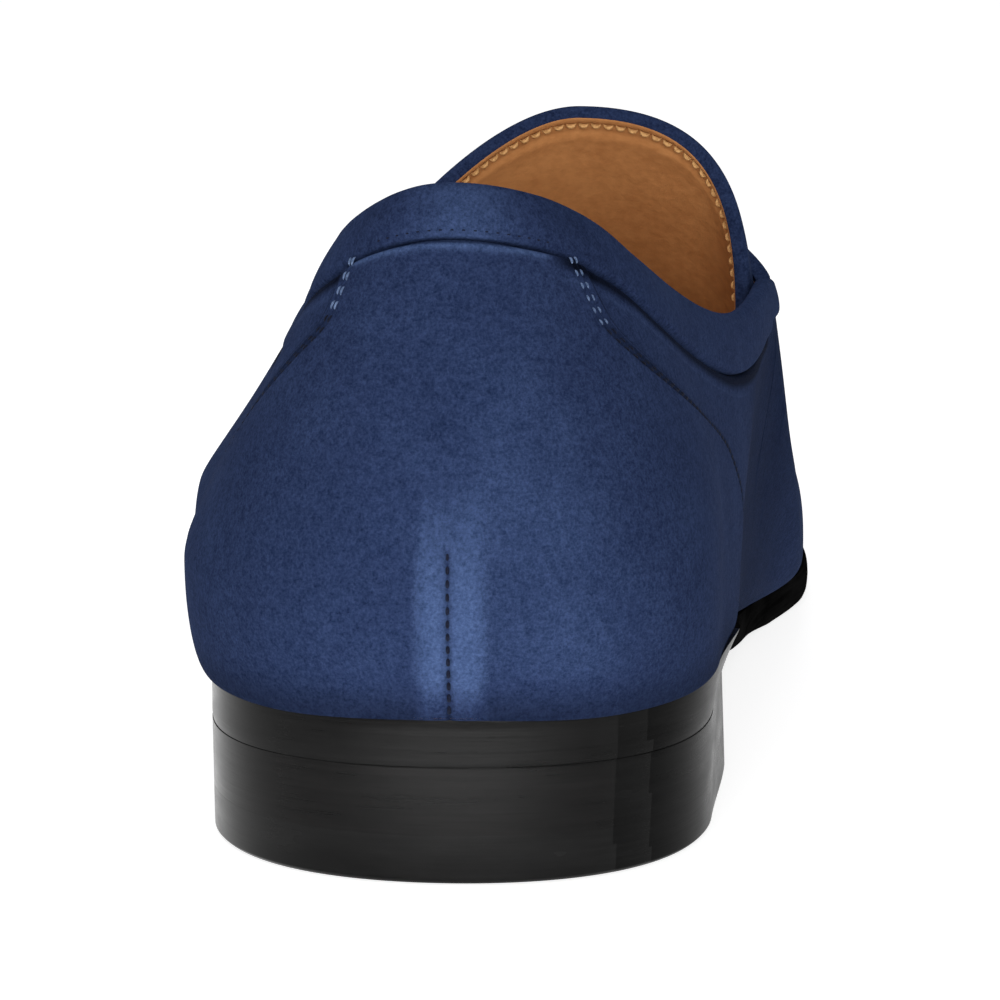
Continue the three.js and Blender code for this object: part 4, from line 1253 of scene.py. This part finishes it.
def heel_piece(name, node, top, bottom, material, slot):
    """One layer of the heel, with its hollow breast."""
    rounds = sole_rounds(BREAST, 130)
    turn = np.minimum(HALF_TURN, rounds * HALF_PERIMETER / HEEL_CAP)
    corner = HEEL_TAPER + HEEL_CORNER * np.sin(2 * turn) ** 2
    hollow = BREAST_HOLLOW * smooth((plan(rounds)[0] / BREAST - 0.5) / 0.5)
    steps = [top, top - 0.12, top - 0.3, *np.linspace(top, bottom, 14)[1:-1]]
    steps += [bottom + 0.5, bottom + 0.2, bottom]
    steps = sorted(set(round(float(s), 3) for s in steps), reverse=True)

    def rim_of(height):
        lay = -0.02 * bell(top - height, 0.1)
        if bottom <= 0:
            lay = lay - 0.5 * bell(height, 0.25)
        return lambda signed: mix(-corner, rim_at(signed, "low"), height / HEEL_SEAT) + lay

    heights = [np.full_like(rounds, height) for height in steps]
    rings, front = edged_slab(rounds, heights, [rim_of(height) for height in steps], hollow)
    points, faces = lofted(rings, False)
    faces = faces + sheet_faces(front.shape[0], front.shape[1], len(points))
    points = np.concatenate([points, front.reshape(-1, 3)])
    build(name, points, faces, [material, SIDE_BLACK, INNER_BLACK, EDGE_BLACK], slot, [node],
          kinds=wax_kinds(points, faces), sharp=SOLE_ANGLE)


def insole_piece():
    rounds = sole_rounds(1, 120)
    along = plan(rounds)[0]
    low = sole_top(along) + GAP
    levels = ((1.0, -0.9), (0.93, -0.3), (0.8, 0.0), (0.0, 0.0))
    heights = [low + INSOLE_THICKNESS * up for up, _ in levels]
    rims = [lambda signed, lay=lay: -WALL - INSOLE_MARGIN + lay + 0 * signed for _, lay in levels]
    rings, _ = edged_slab(rounds, heights, rims)
    build("sock_lining", *lofted(rings, False), [LINING], "lining", ["insole"])


# Bit and keepers

BIT_ROUND = float(round_at(BIT_LINE))
STRAP_FACE = OVERLAY_GAP + STRAP_THICKNESS + BIT_GAP


def bit_spot(distance, out):
    """Point and outward direction over the strap, at a distance from the ridge."""
    distance = np.asarray(distance, float)
    round_ = np.where(distance < 0, -BIT_ROUND, BIT_ROUND)
    ridge = last_point(BIT_ROUND, 1.0)
    measure = lambda share: -np.linalg.norm(last_point(round_, share) - ridge, axis=-1)
    rise = search(measure, -np.abs(distance))
    rise = np.where(np.abs(distance) < 1e-9, 1.0, rise)
    return surface(round_, rise, out, normals=True)


def ring_part(centre, normal, radius, wire, turns=64, sides=20):
    ahead = unit(np.cross(normal, (1.0, 0, 0)))
    aside = np.cross(normal, ahead)
    angle = circle(turns)
    spoke = ahead[None] * np.cos(angle)[:, None] + aside[None] * np.sin(angle)[:, None]
    turn = circle(sides)
    away = (radius + wire * np.cos(turn))[None, :, None]
    rings = centre + spoke[:, None] * away + normal * (wire * np.sin(turn))[None, :, None]
    faces = sheet_faces(turns + 1, sides, ring=True)
    return rings.reshape(-1, 3), [tuple(v % (turns * sides) for v in face) for face in faces]


def bit_piece():
    reach = BIT_SPAN / 2 - BIT_RING_RADIUS
    spots = np.linspace(-reach, reach, 45)
    points, normals = bit_spot(spots, STRAP_FACE + BIT_BAR_RADIUS)
    away = np.abs(spots) / reach
    radii = BIT_BAR_RADIUS * (0.84 + 0.16 * bell(away - 0.55, 0.12) + 0.16 * bell(away, 0.12))
    parts = [lofted(tube(points, normals, radii, 24))]
    for side in (-1, 1):
        centre, normal = bit_spot(np.array([side * BIT_SPAN / 2]), STRAP_FACE + BIT_WIRE_RADIUS)
        parts.append(ring_part(centre[0], normal[0], BIT_RING_RADIUS, BIT_WIRE_RADIUS))
    build("bit_brass", *joined(parts), [BRASS], "bit_metal", ["bit"])


# Ahead and up over the strap, in radii of the bar
KEEPER_PROFILE = (
    (-3.7, 0.0), (-1.9, 0.0), (-1.45, 0.6), (-1.36, 1.2), (-0.98, 2.1), (0.0, 2.5),
    (0.98, 2.1), (1.36, 1.2), (1.45, 0.6), (1.9, 0.0), (3.7, 0.0),
)


def keeper_piece(name, node, side):
    rough = np.array([(0.0, ahead, height) for ahead, height in KEEPER_PROFILE])
    fine, _ = resampled(rough, 0.12)
    for _ in range(2):
        fine[1:-1] = (fine[:-2] + 2 * fine[1:-1] + fine[2:]) / 4
    line = fine[:, 1:]
    run = unit(np.gradient(line, axis=0))
    out = np.stack([-run[:, 1], run[:, 0]], -1)
    rings = []
    for across in np.sin(np.linspace(-1, 1, 13) * HALF_TURN):
        distance = side * (KEEPER_PLACE + across * 0.5 * KEEPER_WIDTH)
        point, normal = bit_spot(np.array([distance]), STRAP_FACE)
        point, normal = point[0], normal[0]
        forward = unit(np.array([0.0, 1, 0]) - normal * normal[1])
        full = KEEPER_THICKNESS * (0.35 + 0.65 * math.sqrt(max(0.0, 1 - abs(across) ** 6)))

        def at(thick):
            return (
                point
                + forward * (line[:, :1] * BIT_BAR_RADIUS + out[:, :1] * thick)
                + normal * (line[:, 1:] * BIT_BAR_RADIUS + out[:, 1:] * thick)
            )

        rings.append(np.concatenate([at(0.0), at(full)[::-1]]))
    build(name, *lofted(rings), [SUEDE], "suede", [node])


# Stitching


def counter_stitches():
    pale, dark = [], []
    for sign, turn in ((-1.0, 73.0), (1.0, 71.0)):
        for row in STITCH_ROWS:
            for lines, high, bottom in ((pale, 80.5, turn), (dark, turn, 23.5)):
                heights = np.linspace(high, bottom, 160)
                rounds = sign * (counter_round(sign, heights) - row / ROUND_MM)
                lay = SKIVED_STEP - 0.08 + 0.14 * (row - STITCH_ROWS[0])
                lines.append(surface(rounds, rise_at(rounds, heights), lay, normals=True))
    stitches("counter_stitch_pale", pale, 1.15, 0.75, 0.17, PALE_THREAD)
    stitches("counter_stitch", dark, 1.15, 0.75, 0.17, NAVY_THREAD)


def dart_stitches():
    heights = np.linspace(44.5, 22.4, 90)
    rounds = np.zeros_like(heights)
    line = surface(rounds, rise_at(rounds, heights), COUNTER_STEP - 0.24, normals=True)
    stitches("back_seam_stitch", [line], 1.2, 0.5, 0.25, NAVY_THREAD)


def band_stitches():
    rounds = np.linspace(-20, 24, 200) / ROUND_MM
    drop = band_depth(rounds) - 1.1
    face = GAP - BAND_RECESS + BAND_THICKNESS
    line = surface(rounds, topline_rise(rounds, drop), face - 0.06, normals=True)
    stitches("collar_stitch", [line], 0.8, 0.7, 0.14, NAVY_THREAD)


def tongue_stitches():
    shares = np.linspace(-0.9, 0.9, 500)
    along = np.full_like(shares, TONGUE_TIP + TONGUE_STITCH / LAST_LENGTH)
    rise = tongue_rise(along, shares)
    round_ = side_of(shares) * round_at(along)
    out = -WALL - TONGUE_GAP - TONGUE_THICKNESS - 0.16
    point, normal = surface(round_, rise, out, normals=True)
    stitches("tongue_stitch", [(point, -normal)], 1.5, 0.3, 0.32, TAN_THREAD, "lining")


def strap_stitches():
    lines = []
    shares = np.linspace(-0.96, 0.96, 400)
    for place in (STRAP_BACK + STRAP_STITCH / LAST_LENGTH, STRAP_FRONT - STRAP_STITCH / LAST_LENGTH):
        along = np.full_like(shares, place)
        rise = 1 - np.abs(shares) * (1 - STRAP_END)
        round_ = side_of(shares) * round_at(along)
        lines.append(surface(round_, rise, OVERLAY_GAP + STRAP_THICKNESS - 0.08, normals=True))
    stitches("strap_stitch", lines, 1.7, 0.6, 0.22, NAVY_THREAD)


# Camera, light and floor, in metres

CAMERA_PLACE = (0.0457, -0.7161, 0.1658)
CAMERA_YAW, CAMERA_PITCH = -3.30, -9.61
FLOOR_SIZE, FLOOR_DROP = 6.0, 0.0002
FLOOR_GREY, FLOOR_GLOW, WORLD_GLOW = 0.50, 0.80, 0.35
WHITE = (1.0, 1.0, 1.0, 1.0)
# name, place, target, width, height, watts
AREA_LIGHTS = (
    ("key", (0.12, -1.35, 0.42), (0, 0.05, 0.07), 0.9, 0.5, 15.0),
    ("top", (-0.25, 0.10, 1.1), (0, 0.10, 0.03), 0.8, 0.8, 4.0),
    ("left", (-1.1, -0.3, 0.5), (0, 0.05, 0.04), 0.5, 0.8, 1.2),
)
POOL_PLACE, POOL_TARGET = (0.0, -0.115, 0.55), (0.0, -0.115, 0.0)
POOL_SPREAD, POOL_WATTS, POOL_RADIUS = 15.0, 105.0, 0.03


def aimed(name, data, place, ahead):
    thing = placed(name, data)
    thing.location = place
    thing.rotation_euler = ahead.to_track_quat("-Z", "Y").to_euler()
    return thing


def make_camera():
    yaw, pitch = math.radians(CAMERA_YAW), math.radians(CAMERA_PITCH)
    level = math.cos(pitch)
    data = bpy.data.cameras.new("camera")
    data.lens = 195.0
    data.sensor_width = 36.0
    data.clip_start = 0.01
    ahead = Vector((math.sin(yaw) * level, math.cos(yaw) * level, math.sin(pitch)))
    bpy.context.scene.camera = aimed("camera", data, CAMERA_PLACE, ahead)


def make_lights():
    for name, place, target, width, height, watts in AREA_LIGHTS:
        data = bpy.data.lights.new(name, "AREA")
        data.shape = "RECTANGLE"
        data.size, data.size_y = width, height
        data.energy = watts
        aimed(name, data, place, Vector(target) - Vector(place))
    # Soft pool on the floor behind the shoe, which the heel's polish mirrors
    data = bpy.data.lights.new("pool", "SPOT")
    data.spot_size = math.radians(POOL_SPREAD)
    data.spot_blend = 1.0
    data.shadow_soft_size = POOL_RADIUS
    data.energy = POOL_WATTS
    aimed("pool", data, POOL_PLACE, Vector(POOL_TARGET) - Vector(POOL_PLACE))


def make_stage():
    mesh = bpy.data.meshes.new("floor")
    far = FLOOR_SIZE
    corners = [(-far, -far, 0), (far, -far, 0), (far, far, 0), (-far, far, 0)]
    mesh.from_pydata(corners, [], [(0, 1, 2, 3)])
    floor = placed("floor", mesh)
    floor.location.z = -FLOOR_DROP
    material = bpy.data.materials.new("floor_white")
    material.use_nodes = True
    inputs = material.node_tree.nodes["Principled BSDF"].inputs
    inputs["Base Color"].default_value = (FLOOR_GREY, FLOOR_GREY, FLOOR_GREY, 1.0)
    inputs["Roughness"].default_value = 0.9
    inputs["Specular IOR Level"].default_value = 0.1
    inputs["Emission Color"].default_value = WHITE
    inputs["Emission Strength"].default_value = FLOOR_GLOW
    mesh.materials.append(material)
    world = bpy.data.worlds.new("studio")
    world.use_nodes = True
    background = world.node_tree.nodes["Background"]
    background.inputs["Color"].default_value = WHITE
    background.inputs["Strength"].default_value = WORLD_GLOW
    bpy.context.scene.world = world
    bpy.context.scene.view_settings.view_transform = "Standard"
    make_lights()


make_camera()
make_stage()
upper_piece()
band_piece()
tongue_piece()
apron_piece()
apron_seam_piece()
strap_piece()
outsole_piece()
heel_piece("heel_block_black", "heel_block", HEEL_SEAT, TOP_LIFT_THICKNESS, HEEL_BLACK, "heel_stack")
heel_piece("top_lift_black", "top_lift", TOP_LIFT_THICKNESS, 0.0, LIFT_BLACK, "top_lift")
insole_piece()
bit_piece()
keeper_piece("keeper_medial_suede", "keeper_medial", 1)
keeper_piece("keeper_lateral_suede", "keeper_lateral", -1)
counter_stitches()
dart_stitches()
band_stitches()
tongue_stitches()
strap_stitches()
